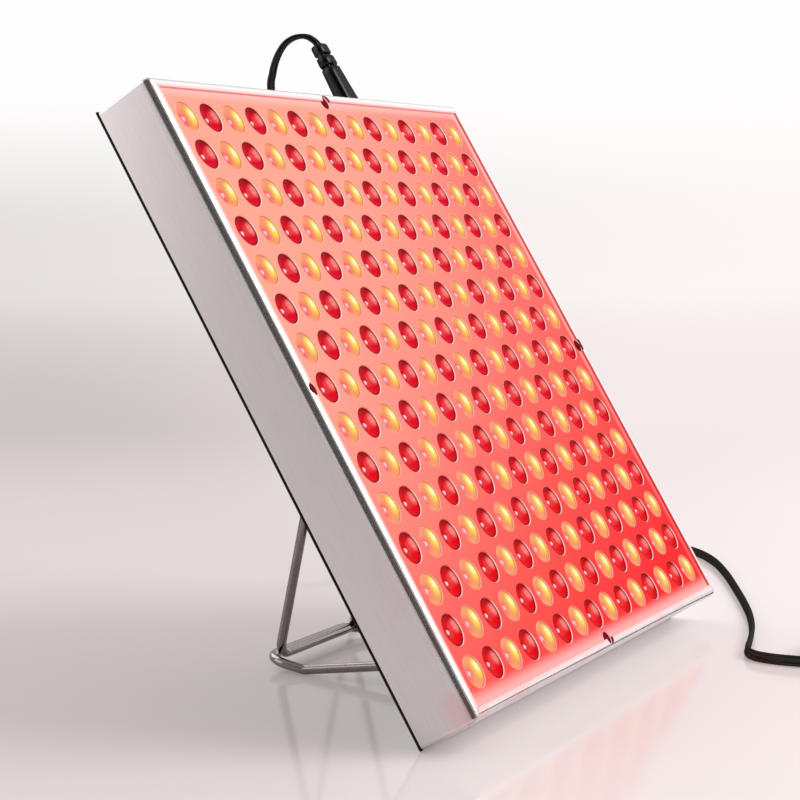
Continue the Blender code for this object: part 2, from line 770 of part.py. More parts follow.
def make_supply():
    """The supply board on posts inside the cover, with its transformer and capacitor."""
    back = cover_thickness + fit_gap + standoff_height + fit_gap
    front = back + supply_thickness
    centre = Vector((supply_across, supply_on_panel, 0))
    half = Vector((supply_width / 2, supply_height / 2, 0))
    bm = bmesh.new()
    block(bm, centre - half + Vector((0, 0, back)), centre + half + Vector((0, 0, front)))
    add_object("supply_board", mesh_from(bm, "supply_board"), finishes["circuit"], panel)
    inset = Vector((standoff_inset, standoff_inset, 0))
    low = cover_thickness + fit_gap
    for number, (across, up) in enumerate(((-1, -1), (1, -1), (1, 1), (-1, 1)), 1):
        post = centre + Vector((across, up, 0)) * (half - inset) + Vector((0, 0, low))
        bm = bmesh.new()
        rod(bm, post, post + Vector((0, 0, standoff_height)), standoff_diameter, standoff_sides)
        name = f"supply_post_{number}"
        add_object(name, mesh_from(bm, name), finishes["standoff"], panel)
    seat = front + fit_gap
    bm = bmesh.new()
    middle = centre + Vector((0, 0, seat))
    core = Vector((transformer_width / 2, transformer_length / 2, 0))
    block(bm, middle - core, middle + core + Vector((0, 0, transformer_height)))
    add_object("supply_transformer", mesh_from(bm, "supply_transformer"), finishes["ferrite"], panel)
    bm = bmesh.new()
    place = centre + Vector((-half.x / 2, 0, seat + capacitor_diameter / 2))
    reach = Vector((0, capacitor_length / 2, 0))
    rod(bm, place - reach, place + reach, capacitor_diameter, capacitor_sides)
    add_object("supply_capacitor", mesh_from(bm, "supply_capacitor"), finishes["capacitor"], panel)
    return centre, half, seat


def make_leads(centre, half, seat):
    """The lead from the inlet to the supply board, and the one from there to the lamp board."""
    lead_height = seat + lead_diameter / 2
    inlet_back = panel_height + inlet_flange_thickness - inlet_body_length
    end = centre.y + half.y - lead_landing
    corners = [
        (inlet_across, inlet_back, inlet_from_rear),
        (inlet_across, inlet_back - lead_straight, inlet_from_rear),
        (inlet_across, end + lead_straight, lead_height),
        (inlet_across, end, lead_height),
    ]
    path = round_corners(corners, [lead_bend, lead_bend], 3)
    tube("inlet_lead", path, lead_diameter, 1, finishes["lead"], panel)
    side = centre.x - half.x
    top = back_of_board - fit_gap
    corners = [
        (side + lead_landing, centre.y, lead_height),
        (side - lead_straight, centre.y, lead_height),
        (side - lead_straight, centre.y, top),
    ]
    path = round_corners(corners, [lead_bend], 3)
    tube("lamp_lead", path, lead_diameter, 1, finishes["lead"], panel)


def loft(bm, rings):
    """A closed skin through rings of equal count, capped at both ends."""
    layers = [[bm.verts.new(point) for point in ring] for ring in rings]
    for low, high in zip(layers, layers[1:]):
        for k in range(len(low)):
            other = (k + 1) % len(low)
            bm.faces.new((low[k], low[other], high[other], high[k]))
    bm.faces.new(layers[0])
    bm.faces.new(layers[-1])


def upright_ring(width, depth, up):
    """An oblong section across the inlet's axis, at one height above the panel's foot."""
    return [
        (inlet_across + x, up, inlet_from_rear + z) for x, z in oblong(width, depth)
    ]


def make_inlet():
    """The inlet's moulding in the top rail and its two pins."""
    seat = panel_height + fit_gap
    face = seat + inlet_flange_thickness
    bm = bmesh.new()
    half_width, half_depth = inlet_body_width / 2, inlet_body_depth / 2
    block(
        bm, (inlet_across - half_width, face - inlet_body_length, inlet_from_rear - half_depth),
        (inlet_across + half_width, face - inlet_flange_thickness / 2, inlet_from_rear + half_depth),
    )
    inlet = add_object("mains_inlet", mesh_from(bm, "mains_inlet"), finishes["moulding"], panel)
    bm = bmesh.new()
    loft(bm, [
        upright_ring(inlet_flange_width, inlet_flange_depth, seat),
        upright_ring(inlet_flange_width, inlet_flange_depth, face),
    ])
    flange = add_object("inlet_flange", mesh_from(bm, "inlet_flange"), None, panel)
    join(inlet, flange)
    bm = bmesh.new()
    width = plug_nose_width + 2 * plug_recess_clearance
    depth = plug_nose_depth + 2 * plug_recess_clearance
    floor = face - inlet_recess_length
    loft(bm, [upright_ring(width, depth, floor), upright_ring(width, depth, face + overrun)])
    subtract(inlet, add_object("inlet_recess", mesh_from(bm, "inlet_recess"), None, panel))
    bm = bmesh.new()
    for across in inlet_pin_places():
        rod(
            bm, (across, floor - inlet_pin_seat, inlet_from_rear),
            (across, floor + overrun, inlet_from_rear), inlet_pin_diameter + 2 * fit_gap, screw_sides,
        )
    subtract(inlet, add_object("inlet_pin_holes", mesh_from(bm, "inlet_pin_holes"), None, panel))
    for side, across in zip(("left", "right"), inlet_pin_places()):
        bm = bmesh.new()
        rod(
            bm, (across, floor - inlet_pin_seat + fit_gap, inlet_from_rear),
            (across, floor + inlet_pin_length, inlet_from_rear), inlet_pin_diameter, screw_sides,
        )
        name = "inlet_pin_" + side
        add_object(name, mesh_from(bm, name), finishes["blade"], panel)
    return face


def inlet_pin_places():
    return [inlet_across + side * inlet_pin_spacing / 2 for side in (-1, 1)]


def make_inlet_plug(face):
    """The plug in the inlet: a nose with two bores, a tapering body and a ribbed strain relief."""
    bottom = face + fit_gap
    nose = bottom - plug_nose_length
    rings = [
        upright_ring(plug_nose_width, plug_nose_depth, nose),
        upright_ring(plug_nose_width, plug_nose_depth, bottom),
    ]
    heights = [bottom, bottom + plug_body_length]
    for rib in (plug_inner_rib_length, plug_end_rib_length):
        heights += [heights[-1] + plug_groove_length, heights[-1] + plug_groove_length + rib]
    top = heights[-1]

    def section(height, narrower):
        share = (height - bottom) / (top - bottom)
        width = plug_body_width + (plug_end_width - plug_body_width) * share
        depth = plug_body_depth + (plug_end_depth - plug_body_depth) * share
        return upright_ring(width - 2 * narrower, depth - 2 * narrower, height)

    rings += [section(heights[0], 0), section(heights[1], 0)]
    for groove, rib_start, rib_end in (heights[1:4], heights[3:6]):
        rings += [section(groove, plug_groove_depth), section(rib_start, plug_groove_depth)]
        rings += [section(rib_start, 0), section(rib_end, 0)]
    bm = bmesh.new()
    loft(bm, rings)
    plug = add_object("inlet_plug", mesh_from(bm, "inlet_plug"), finishes["moulding"], panel)
    bm = bmesh.new()
    for across in inlet_pin_places():
        rod(
            bm, (across, nose - overrun, inlet_from_rear),
            (across, nose + inlet_pin_length + overrun, inlet_from_rear), plug_bore_diameter,
            screw_sides,
        )
    subtract(plug, add_object("plug_bores", mesh_from(bm, "plug_bores"), None, panel))
    return on_panel(inlet_across, top + fit_gap, inlet_from_rear)


def smooth_route(points, samples):
    """Points on a smooth curve through the chosen ones (Catmull-Rom)."""
    chain = [2 * points[0] - points[1]] + points + [2 * points[-1] - points[-2]]
    smooth = []
    for a, b, c, d in zip(chain, chain[1:], chain[2:], chain[3:]):
        for k in range(samples):
            t = k / samples
            smooth.append((
                2 * b + (c - a) * t + (2 * a - 5 * b + 4 * c - d) * t * t
                + (3 * b - a - 3 * c + d) * t * t * t
            ) / 2)
    smooth.append(points[-1])
    return smooth


def path_length(points):
    return sum((b - a).length for a, b in zip(points, points[1:]))


def least_self_gap(points, diameter, apart):
    """The smallest gap between stretches of one tube that lie some way apart along it."""
    least = math.inf
    for k, a in enumerate(points):
        for b in points[k + apart:]:
            least = min(least, (b - a).length - diameter)
    return least


def coil_points(start, left):
    """A coil from its first point, which heads along -y: in on one layer and out on the next."""
    middle_radius = left / (2 * math.pi * coil_turns)
    turn_step = cord_diameter + coil_turn_gap
    layer_step = cord_diameter + coil_layer_gap
    inner = middle_radius - turn_step * coil_turns / 4
    outer = middle_radius + turn_step * coil_turns / 4
    centre = start + Vector((outer, 0, 0))
    points = []
    steps = round(coil_turns * coil_steps_per_turn)
    for k in range(steps + 1):
        turned = k * coil_turns / steps
        from_middle = turned - coil_turns / 2
        radius = inner + turn_step * abs(from_middle)
        climb = min(max(from_middle / coil_climb_share + 0.5, 0), 1)
        angle = math.pi + 2 * math.pi * turned
        points.append(Vector((
            centre.x + radius * math.cos(angle), centre.y + radius * math.sin(angle),
            coil_rest_height + layer_step * climb * climb * (3 - 2 * climb),
        )))
    return points


def make_cord(exit_point):
    """The lead: its free run from the plug, the coil of the length left over, and the mains plug."""
    straight = (on_panel(0, 1) - on_panel(0, 0)).normalized() * cord_straight
    route = [exit_point, exit_point + straight] + [Vector(point) for point in cord_route]
    run = smooth_route(route, cord_samples_per_point)
    tube("cord_run", run, cord_diameter, 2, finishes["cord"])
    left = cord_length - path_length(run) - coil_tail
    heading = Vector((0, -1, 0))
    entry = run[-1] + heading * fit_gap
    wound = coil_points(entry + heading * cord_diameter, left)
    way_out = (wound[-1] - wound[-2]).normalized()
    way_out.z = 0
    tail = [wound[-1] + way_out * coil_tail * share for share in (0.5, 1)]
    coil = [entry] + wound + tail
    tube("cord_coil", coil, cord_diameter, 1, finishes["cord"])
    print("coil gap to itself, mm:", least_self_gap(coil, cord_diameter, coil_steps_per_turn // 2) / mm)
    print("cord length, mm:", (path_length(run) + path_length(coil)) / mm)
    return coil[-1], way_out.normalized()


def make_mains_plug(place, way):
    """The plug at the lead's far end, lying on the table, with its two flat blades."""
    height = 2 * place.z - 2 * floor_gap
    bm = bmesh.new()
    sections = [
        (fit_gap, mains_plug_sleeve, mains_plug_sleeve),
        (mains_plug_neck, mains_plug_width * neck_share, height * neck_share),
        (mains_plug_shoulder, mains_plug_width, height),
        (mains_plug_neck + mains_plug_length, mains_plug_width, height),
    ]
    loft(bm, [
        [(along, y, z) for y, z in octagon(width, depth)] for along, width, depth in sections
    ])
    body = add_object("mains_plug", mesh_from(bm, "mains_plug"), finishes["moulding"])
    face = mains_plug_neck + mains_plug_length

    def blade(bm, side, side_gap, root, reach):
        middle = side * mains_blade_spacing / 2
        half_thick = mains_blade_thickness / 2 + side_gap
        half_wide = mains_blade_width / 2 + side_gap
        block(
            bm, (face - root, middle - half_thick, -half_wide),
            (face + reach, middle + half_thick, half_wide),
        )

    pieces = [body]
    slots_bm = bmesh.new()
    for name, side in (("mains_blade_left", -1), ("mains_blade_right", 1)):
        blade(slots_bm, side, fit_gap, mains_blade_root + fit_gap, overrun)
        bm = bmesh.new()
        blade(bm, side, 0, mains_blade_root, mains_blade_length)
        pieces.append(add_object(name, mesh_from(bm, name), finishes["blade"]))
    slots = add_object("blade_slots", mesh_from(slots_bm, "blade_slots"), None)
    for piece in pieces + [slots]:
        piece.location = place
        piece.rotation_euler = (0, 0, math.atan2(way.y, way.x))
    subtract(body, slots)


def octagon(width, depth):
    """A rectangle with its corners cut, as a moulded plug's section is."""
    chamfer = min(width, depth) * plug_chamfer_share
    half_width, half_depth = width / 2, depth / 2
    return [
        (half_width, chamfer - half_depth), (half_width, half_depth - chamfer),
        (half_width - chamfer, half_depth), (chamfer - half_width, half_depth),
        (-half_width, half_depth - chamfer), (-half_width, chamfer - half_depth),
        (chamfer - half_width, -half_depth), (half_width - chamfer, -half_depth),
    ]


for item in list(bpy.data.objects):
    bpy.data.objects.remove(item)
bpy.context.scene.collection.children.link(parts)
bpy.context.scene.collection.children.link(cutters)
finishes = make_materials()

panel = bpy.data.objects.new("panel_axis", None)
parts.objects.link(panel)
panel.location = (0, -half_depth_on_table, 0)
panel.rotation_euler = (math.pi / 2 - lean, 0, 0)
bpy.context.view_layer.update()

make_rails()
make_corner_keys()
make_reflector()
make_lamp_board()
make_cover()
make_screws("cover_screw", cover_screw_places(), -fit_gap, cover_screw_length)
make_screws("clip_screw", clip_screw_places(), -2 * fit_gap - clip_sheet, clip_screw_length)
make_clips()
make_leads(*make_supply())
inlet_face = make_inlet()
cord_exit = make_inlet_plug(inlet_face)
make_stand()
plug_place, plug_way = make_cord(cord_exit)
make_mains_plug(plug_place, plug_way)
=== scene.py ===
import bmesh
import bpy
import math
from mathutils import Matrix, Vector


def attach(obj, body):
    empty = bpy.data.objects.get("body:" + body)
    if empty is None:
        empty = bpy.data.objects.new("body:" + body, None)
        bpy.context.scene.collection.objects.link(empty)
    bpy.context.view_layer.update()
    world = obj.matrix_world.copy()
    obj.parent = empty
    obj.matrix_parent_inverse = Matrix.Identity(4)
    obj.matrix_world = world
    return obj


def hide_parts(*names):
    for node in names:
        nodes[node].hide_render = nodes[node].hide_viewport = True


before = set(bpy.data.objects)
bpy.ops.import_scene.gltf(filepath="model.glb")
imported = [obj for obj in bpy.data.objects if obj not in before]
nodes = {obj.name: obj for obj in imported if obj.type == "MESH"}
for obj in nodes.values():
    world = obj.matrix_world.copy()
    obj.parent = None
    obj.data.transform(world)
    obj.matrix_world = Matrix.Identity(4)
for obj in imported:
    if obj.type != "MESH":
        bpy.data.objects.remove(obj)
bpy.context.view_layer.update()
mm = 0.001
print("frame loaded")

# the case, in millimetres; every piece on it is drawn in the panel's own axes:
# x across, y up from the foot, z out of the back cover towards the lamps
case = dict(width=310, height=310, depth=31.5, lean=30, rounding=3)
lean = math.radians(case["lean"])
footReach = (
    (case["depth"] - case["rounding"]) * math.cos(lean)
    - case["rounding"] * math.sin(lean) + case["rounding"]
)
halfDepth = (case["height"] * math.sin(lean) - footReach) / 2
panelPlace = (
    Matrix.Translation((0, -halfDepth * mm, 0))
    @ Matrix.Rotation(math.pi / 2 - lean, 4, "X") @ Matrix.Scale(mm, 4)
)
tableScale = Matrix.Scale(mm, 4)


# small tools
def linear(code):
    # sRGB hex to the linear colour that Blender's sockets take
    parts = [int(code[k:k + 2], 16) / 255 for k in (0, 2, 4)]
    return tuple(c / 12.92 if c <= 0.04045 else ((c + 0.055) / 1.055) ** 2.4 for c in parts) + (1,)


def fill(tree, node, inputs):
    # an output is linked to its socket, anything else is set on it
    for key, value in inputs.items() if isinstance(inputs, dict) else enumerate(inputs):
        if isinstance(value, bpy.types.NodeSocket):
            tree.links.new(value, node.inputs[key])
        else:
            node.inputs[key].default_value = value


def addNode(tree, kind, inputs=(), out=0, **settings):
    # a node with its settings and links; gives back one of its outputs, or the node itself where out is None
    made = tree.nodes.new(kind)
    for key, value in settings.items():
        setattr(made, key, value)
    fill(tree, made, inputs)
    return made if out is None else made.outputs[out]


def formula(tree, part):
    # nested maths as linked nodes: ("ADD", a, b) and its like are worked out in turn, and (value, from, to)
    # is a smooth step, from 0 to 1 unless two more numbers say otherwise
    if not isinstance(part, tuple):
        return part
    if not isinstance(part[0], str):
        terms = [formula(tree, term) for term in part]
        return addNode(tree, "ShaderNodeMapRange", terms, interpolation_type="SMOOTHSTEP")
    how, first, *rest = part
    made = formula(tree, first)
    if not rest:
        return addNode(tree, "ShaderNodeMath", (made,), operation=how)
    for term in rest:
        made = addNode(tree, "ShaderNodeMath", (made, formula(tree, term)), operation=how)
    return made


def layered(tree, base, *layers):
    # colours laid over one another: each layer is a colour and the masks that say how much of it shows
    colours = [linear(c) if isinstance(c, str) else c for c in (base, *(layer[0] for layer in layers))]
    made = colours[0]
    for colour, (_, *masks) in zip(colours[1:], layers):
        strength = formula(tree, ("MULTIPLY", *masks) if len(masks) > 1 else masks[0])
        made = addNode(tree, "ShaderNodeMix", {0: strength, 6: made, 7: colour}, 2, data_type="RGBA")
    return made


def newMaterial(name, colour, roughness, metallic=0.0, **sockets):
    made = bpy.data.materials.new(name)
    made.use_nodes = True
    tree, shader = made.node_tree, made.node_tree.nodes["Principled BSDF"]
    fill(tree, shader, {"Base Color": linear(colour), "Roughness": roughness, "Metallic": metallic})
    fill(tree, shader, {label.replace("_", " "): value for label, value in sockets.items()})
    return made, tree, shader


def panelCoords(tree):
    # object coordinates turned into the panel's own axes, in millimetres: the vector, and its three parts
    where = addNode(
        tree, "ShaderNodeMapping",
        {
            0: addNode(tree, "ShaderNodeTexCoord", out="Object"),
            1: (0, -halfDepth * mm, 0), 2: (math.pi / 2 - lean, 0, 0), 3: (mm, mm, mm),
        },
        vector_type="TEXTURE",
    )
    return where, *addNode(tree, "ShaderNodeSeparateXYZ", (where,), None).outputs


def toMesh(bm):
    made = bpy.data.meshes.new("shape")
    bm.to_mesh(made)
    bm.free()
    return made


def meshOf(bm):
    # a closed shape: doubles merged, faces turned outwards
    bmesh.ops.remove_doubles(bm, verts=bm.verts, dist=0.002)
    bmesh.ops.recalc_face_normals(bm, faces=bm.faces)
    return toMesh(bm)


def helper(mesh, name="helper"):
    made = bpy.data.objects.new(name, mesh)
    bpy.context.scene.collection.objects.link(made)
    return made


def evaluated(holder):
    graph = bpy.context.evaluated_depsgraph_get()
    mesh = bpy.data.meshes.new_from_object(holder.evaluated_get(graph))
    bpy.data.objects.remove(holder)
    return mesh


def cut(mesh, cutterMesh, operation="DIFFERENCE"):
    holder, cutter = helper(mesh), helper(cutterMesh)
    made = holder.modifiers.new("cut", "BOOLEAN")
    made.operation, made.solver, made.object = operation, "EXACT", cutter
    result = evaluated(holder)
    bpy.data.objects.remove(cutter)
    return result


def softened(mesh, width, segments=1, angle=50):
    holder = helper(mesh)
    made = holder.modifiers.new("edges", "BEVEL")
    made.width, made.segments = width, segments
    made.limit_method, made.angle_limit = "ANGLE", math.radians(angle)
    return evaluated(holder)


def piece(name, mesh, finish, body, replaced, place, angle=40):
    mesh.transform(place)
    if finish is not None:
        mesh.materials.clear()
        mesh.materials.append(finish)
    mesh.polygons.foreach_set("use_smooth", [True] * len(mesh.polygons))
    mesh.set_sharp_from_angle(angle=math.radians(angle))
    mesh.name = name
    made = helper(mesh, name)
    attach(made, body)
    if replaced:
        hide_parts(*replaced)
    return made


def loft(rings, capStart=True, capEnd=True):
    bm = bmesh.new()
    layers = [[bm.verts.new(point) for point in ring] for ring in rings]
    count = len(rings[0])
    for low, high in zip(layers, layers[1:]):
        for k in range(count):
            bm.faces.new((low[k], low[(k + 1) % count], high[(k + 1) % count], high[k]))
    if capStart:
        bm.faces.new(layers[0])
    if capEnd:
        bm.faces.new(layers[-1])
    return bm


def sweep(points, profile, across, twists=None):
    # a section carried along a line; across is its first x axis, twists turn it about the line
    rings = []
    side = Vector(across)
    for k, here in enumerate(points):
        ahead = (points[min(k + 1, len(points) - 1)] - points[max(k - 1, 0)]).normalized()
        side = (side - ahead * side.dot(ahead)).normalized()
        turned = Matrix.Rotation(twists[k] if twists else 0, 3, ahead) @ side
        up = ahead.cross(turned)
        rings.append([here + turned * x + up * y for x, y in profile])
    return meshOf(loft(rings))


def arcPoints(centre, radius, start, end, steps):
    # points along an arc, from one angle in degrees to another
    angles = [math.radians(start + (end - start) * k / steps) for k in range(steps + 1)]
    return [(centre[0] + radius * math.cos(a), centre[1] + radius * math.sin(a)) for a in angles]


def circlePoints(radius, sides, start=0):
    return arcPoints((0, 0), radius, start, start + 360, sides)[:-1]


def roundedRectangle(width, depth, radius, steps=4):
    ring = []
    for x, y, start in ((1, 1, 0), (-1, 1, 90), (-1, -1, 180), (1, -1, 270)):
        centre = (x * (width / 2 - radius), y * (depth / 2 - radius))
        ring += arcPoints(centre, radius, start, start + 90, steps)
    return ring


def prism(outline, low, high):
    return meshOf(loft([[(x, y, z) for x, y in outline] for z in (low, high)]))


def cylinder(centre, radius, low, high, sides=32):
    return prism([(centre[0] + x, centre[1] + y) for x, y in circlePoints(radius, sides)], low, high)


def blockMesh(low, high):
    return prism([low[:2], (high[0], low[1]), high[:2], (low[0], high[1])], low[2], high[2])


def roundCorners(corners, radii, steps):
    points = [Vector(corners[0])]
    for before, here, after, radius in zip(corners, corners[1:], corners[2:], radii):
        here = Vector(here)
        back, on = (Vector(before) - here).normalized(), (Vector(after) - here).normalized()
        half = back.angle(on) / 2
        reach = radius / math.tan(half)
        centre = here + (back + on).normalized() * (radius / math.sin(half))
        start = here + back * reach - centre
        axis = start.cross(here + on * reach - centre)
        for k in range(steps + 1):
            points.append(centre + Matrix.Rotation((math.pi - 2 * half) * k / steps, 3, axis) @ start)
    points.append(Vector(corners[-1]))
    return points


def eased(share):
    # a smooth step from 0 to 1
    share = min(1, max(0, share))
    return share * share * (3 - 2 * share)


# Geometry Nodes: one tree repeats a cell over the lamp grid, one sets a piece on points
def newTree(name, sockets):
    tree = bpy.data.node_groups.new(name, "GeometryNodeTree")
    tree.interface.new_socket("Geometry", in_out="OUTPUT", socket_type="NodeSocketGeometry")
    for label, kind in sockets.items():
        tree.interface.new_socket(label, in_out="INPUT", socket_type="NodeSocket" + kind)
    return tree, addNode(tree, "NodeGroupInput", out=None).outputs


def runTree(tree, values):
    holder = helper(bpy.data.meshes.new(tree.name))
    made = holder.modifiers.new("build", "NODES")
    made.node_group = tree
    for item in tree.interface.items_tree:
        if item.in_out == "INPUT" and item.name in values:
            made[item.identifier] = values[item.name]
    mesh = evaluated(holder)
    for value in values.values():
        if isinstance(value, bpy.types.Object):
            bpy.data.objects.remove(value)
    return mesh


def gridTree():
    tree, given = newTree("repeatOverLampGrid", {
        "Cell": "Object", "Border": "Object", "Lamps per side": "Int", "Pitch": "Float",
        "Field finish": "Material", "Cell finish": "Material",
    })
    count = given["Lamps per side"]
    span = formula(tree, ("MULTIPLY", ("SUBTRACT", count, 1.0), given["Pitch"]))
    grid = addNode(tree, "GeometryNodeMeshGrid", {
        "Size X": span, "Size Y": span, "Vertices X": count, "Vertices Y": count,
    })
    cell = addNode(tree, "GeometryNodeObjectInfo", {"Object": given["Cell"]}, "Geometry")
    border = addNode(tree, "GeometryNodeObjectInfo", {"Object": given["Border"]}, "Geometry")
    placed = addNode(tree, "GeometryNodeInstanceOnPoints", {"Points": grid, "Instance": cell})
    joined = addNode(tree, "GeometryNodeJoinGeometry", out=None)
    for part in (addNode(tree, "GeometryNodeRealizeInstances", (placed,)), border):
        tree.links.new(part, joined.inputs[0])
    welded = addNode(tree, "GeometryNodeMergeByDistance", {"Geometry": joined.outputs[0], "Distance": 0.01})
    marked = addNode(tree, "GeometryNodeInputNamedAttribute", {"Name": "isCell"}, data_type="BOOLEAN")
    field = addNode(tree, "GeometryNodeSetMaterial", {"Geometry": welded, "Material": given["Field finish"]})
    done = addNode(tree, "GeometryNodeSetMaterial", {
        "Geometry": field, "Selection": marked, "Material": given["Cell finish"],
    })
    addNode(tree, "NodeGroupOutput", (done,), None)
    return tree


def pointsTree():
    tree, given = newTree("setOnPoints", {"Piece": "Object", "Places": "Object", "Finish": "Material"})
    shape = addNode(tree, "GeometryNodeObjectInfo", {"Object": given["Piece"]}, "Geometry")
    places = addNode(tree, "GeometryNodeObjectInfo", {"Object": given["Places"]}, "Geometry")
    placed = addNode(tree, "GeometryNodeInstanceOnPoints", {"Points": places, "Instance": shape})
    real = addNode(tree, "GeometryNodeRealizeInstances", (placed,))
    done = addNode(tree, "GeometryNodeSetMaterial", {"Geometry": real, "Material": given["Finish"]})
    addNode(tree, "NodeGroupOutput", (done,), None)
    return tree


overGrid, onPoints = gridTree(), pointsTree()


def setOnPoints(mesh, places, finish):
    points = bpy.data.meshes.new("places")
    points.from_pydata(places, [], [])
    return runTree(onPoints, {"Piece": helper(mesh), "Places": helper(points), "Finish": finish})


# materials
lamps = dict(count=15, pitch=19.4, cupRadius=7.5, windowRadius=1.95, domeRadius=1.8)


def makeRailMetal():
    # anodised aluminium, extruded and finely brushed along its length: satin, a little warm
    made, tree, shader = newMaterial("anodisedAluminium", "CFC9C9", 0.34, 0.8)
    where, x, y, z = panelCoords(tree)
    across = addNode(tree, "ShaderNodeMapping", {0: where, 3: (0.05, 0.05, 3.2)})
    grain = addNode(tree, "ShaderNodeTexNoise", {"Vector": across, "Scale": 1.0, "Detail": 3.0})
    patches = addNode(tree, "ShaderNodeTexNoise", {"Vector": where, "Scale": 0.05, "Detail": 1.0})
    outX = ("SUBTRACT", case["width"] / 2, ("ABSOLUTE", x))
    outY = ("SUBTRACT", case["height"] / 2, ("ABSOLUTE", ("SUBTRACT", y, case["height"] / 2)))
    inward = formula(tree, ("MINIMUM", outX, outY))
    tone = layered(
        tree, "E1DCDC", ("E8E3E4", (grain, 0.3, 0.7)),
        # the lit plate throws red on the lip's inner side and on the foot of the left rail
        ("FF8C88", (inward, 3.0, 5.7), (z, 31.2, 31.4), 0.6),
        ("F07C86", (inward, 5.4, 5.58), 0.85),
        ("F3A9A9", (y, 95.0, 20.0), (z, 13.0, 25.0), (patches, 0.45, 0.62), 0.3),
        # painted shade: the foot's front is darker, near the table
        ("BAAEB0", (y, 14.0, 4.0), (z, 25.0, 28.0), 0.35),
    )
    # the rounded shoulder and the front are smoother than the brushed sides
    smooth = formula(tree, (z, 25.5, 28.5))
    brushed = formula(tree, ("MULTIPLY", grain, ("SUBTRACT", 1.0, smooth)))
    fill(tree, shader, {
        "Base Color": tone,
        "Roughness": formula(tree, ("SUBTRACT", (grain, 0.2, 0.8, 0.31, 0.36), ("MULTIPLY", smooth, 0.2))),
        "Normal": addNode(tree, "ShaderNodeBump", {"Height": brushed, "Distance": 0.000006, "Strength": 0.3}),
    })
    return made


def makePlateGlow():
    # white polystyrene moulding flooded with red from its lamps: salmon at the top, deep red at the foot
    made, tree, shader = newMaterial("litReflectorMoulding", "1A0A0A", 0.45)
    where, x, y, z = panelCoords(tree)
    down = formula(tree, ("SUBTRACT", 1.0, ("MULTIPLY", y, 2 / case["height"])))
    cloud = addNode(tree, "ShaderNodeTexNoise", {"Vector": where, "Scale": 0.012, "Detail": 1.0})
    deep = formula(tree, (
        "ADD", ("MULTIPLY", x, 0.194 * 2 / case["width"]),
        ("MULTIPLY", down, ("ADD", ("MULTIPLY", down, 0.1), 0.302)), 0.495,
        ("MULTIPLY", ("SUBTRACT", cloud, 0.5), 0.09),
    ))
    ramp = addNode(tree, "ShaderNodeValToRGB", (deep,), None)
    stops = ramp.color_ramp.elements
    stops[0].position, stops[0].color = 0.1, linear("FFAA93")
    stops[1].position, stops[1].color = 0.96, linear("FB1A1E")
    for place, code in (
        (0.3, "FDA592"), (0.41, "FE9486"), (0.5, "FE8074"),
        (0.6, "FE6761"), (0.72, "FE4F48"), (0.83, "FD3638"),
    ):
        stops.new(place).color = linear(code)
    outX = ("SUBTRACT", case["width"] / 2, ("ABSOLUTE", x))
    glow = layered(
        tree, ramp.outputs[0],
        # paler where the light runs out against the rails
        ("FFD2CE", (y, 13.5, 5.5), 0.7),
        ("FFD2CA", (outX, 10.5, 5.6), (y, 20.0, 290.0, 0.2, 0.75)),
        ("FFD2CA", (y, 299.0, 304.5), 0.6),
        # only the front is lit: the walls of the hanging holes stay dark
        ("7C1824", (z, 29.95, 29.7)),
    )
    grain = addNode(tree, "ShaderNodeTexNoise", {"Vector": where, "Scale": 0.9, "Detail": 2.0})
    fill(tree, shader, {
        "Emission Color": glow, "Emission Strength": 1.0, "Specular IOR Level": 0.02,
        "Normal": addNode(tree, "ShaderNodeBump", {"Height": grain, "Distance": 0.00003, "Strength": 0.25}),
    })
    return made


def cupSpace(tree):
    # where a point lies in its own cup: across and up in cup radii, its distance from the middle,
    # whether the cup is a red one, and its height on the panel
    where, _, height, _ = panelCoords(tree)
    reach, toRadii = lamps["pitch"] * lamps["count"] / 2, lamps["pitch"] / lamps["cupRadius"]
    corner = (reach, reach - case["height"] / 2, 0)
    moved = addNode(tree, "ShaderNodeVectorMath", (where, corner), operation="ADD")
    cells = addNode(tree, "ShaderNodeVectorMath", (moved, (lamps["pitch"],) * 3), operation="DIVIDE")
    whole = addNode(tree, "ShaderNodeVectorMath", (cells,), operation="FLOOR")
    column, row, _ = addNode(tree, "ShaderNodeSeparateXYZ", (whole,), None).outputs
    part = addNode(tree, "ShaderNodeVectorMath", (cells,), operation="FRACTION")
    middle = addNode(tree, "ShaderNodeVectorMath", (part, (0.5, 0.5, 0.5)), operation="SUBTRACT")
    inCup = addNode(tree, "ShaderNodeVectorMath", (middle, (toRadii, toRadii, 0)), operation="MULTIPLY")
    x, y, _ = addNode(tree, "ShaderNodeSeparateXYZ", (inCup,), None).outputs
    away = addNode(tree, "ShaderNodeVectorMath", (inCup,), "Value", operation="LENGTH")
    return x, y, away, formula(tree, ("MODULO", ("ADD", column, row), 2.0)), height


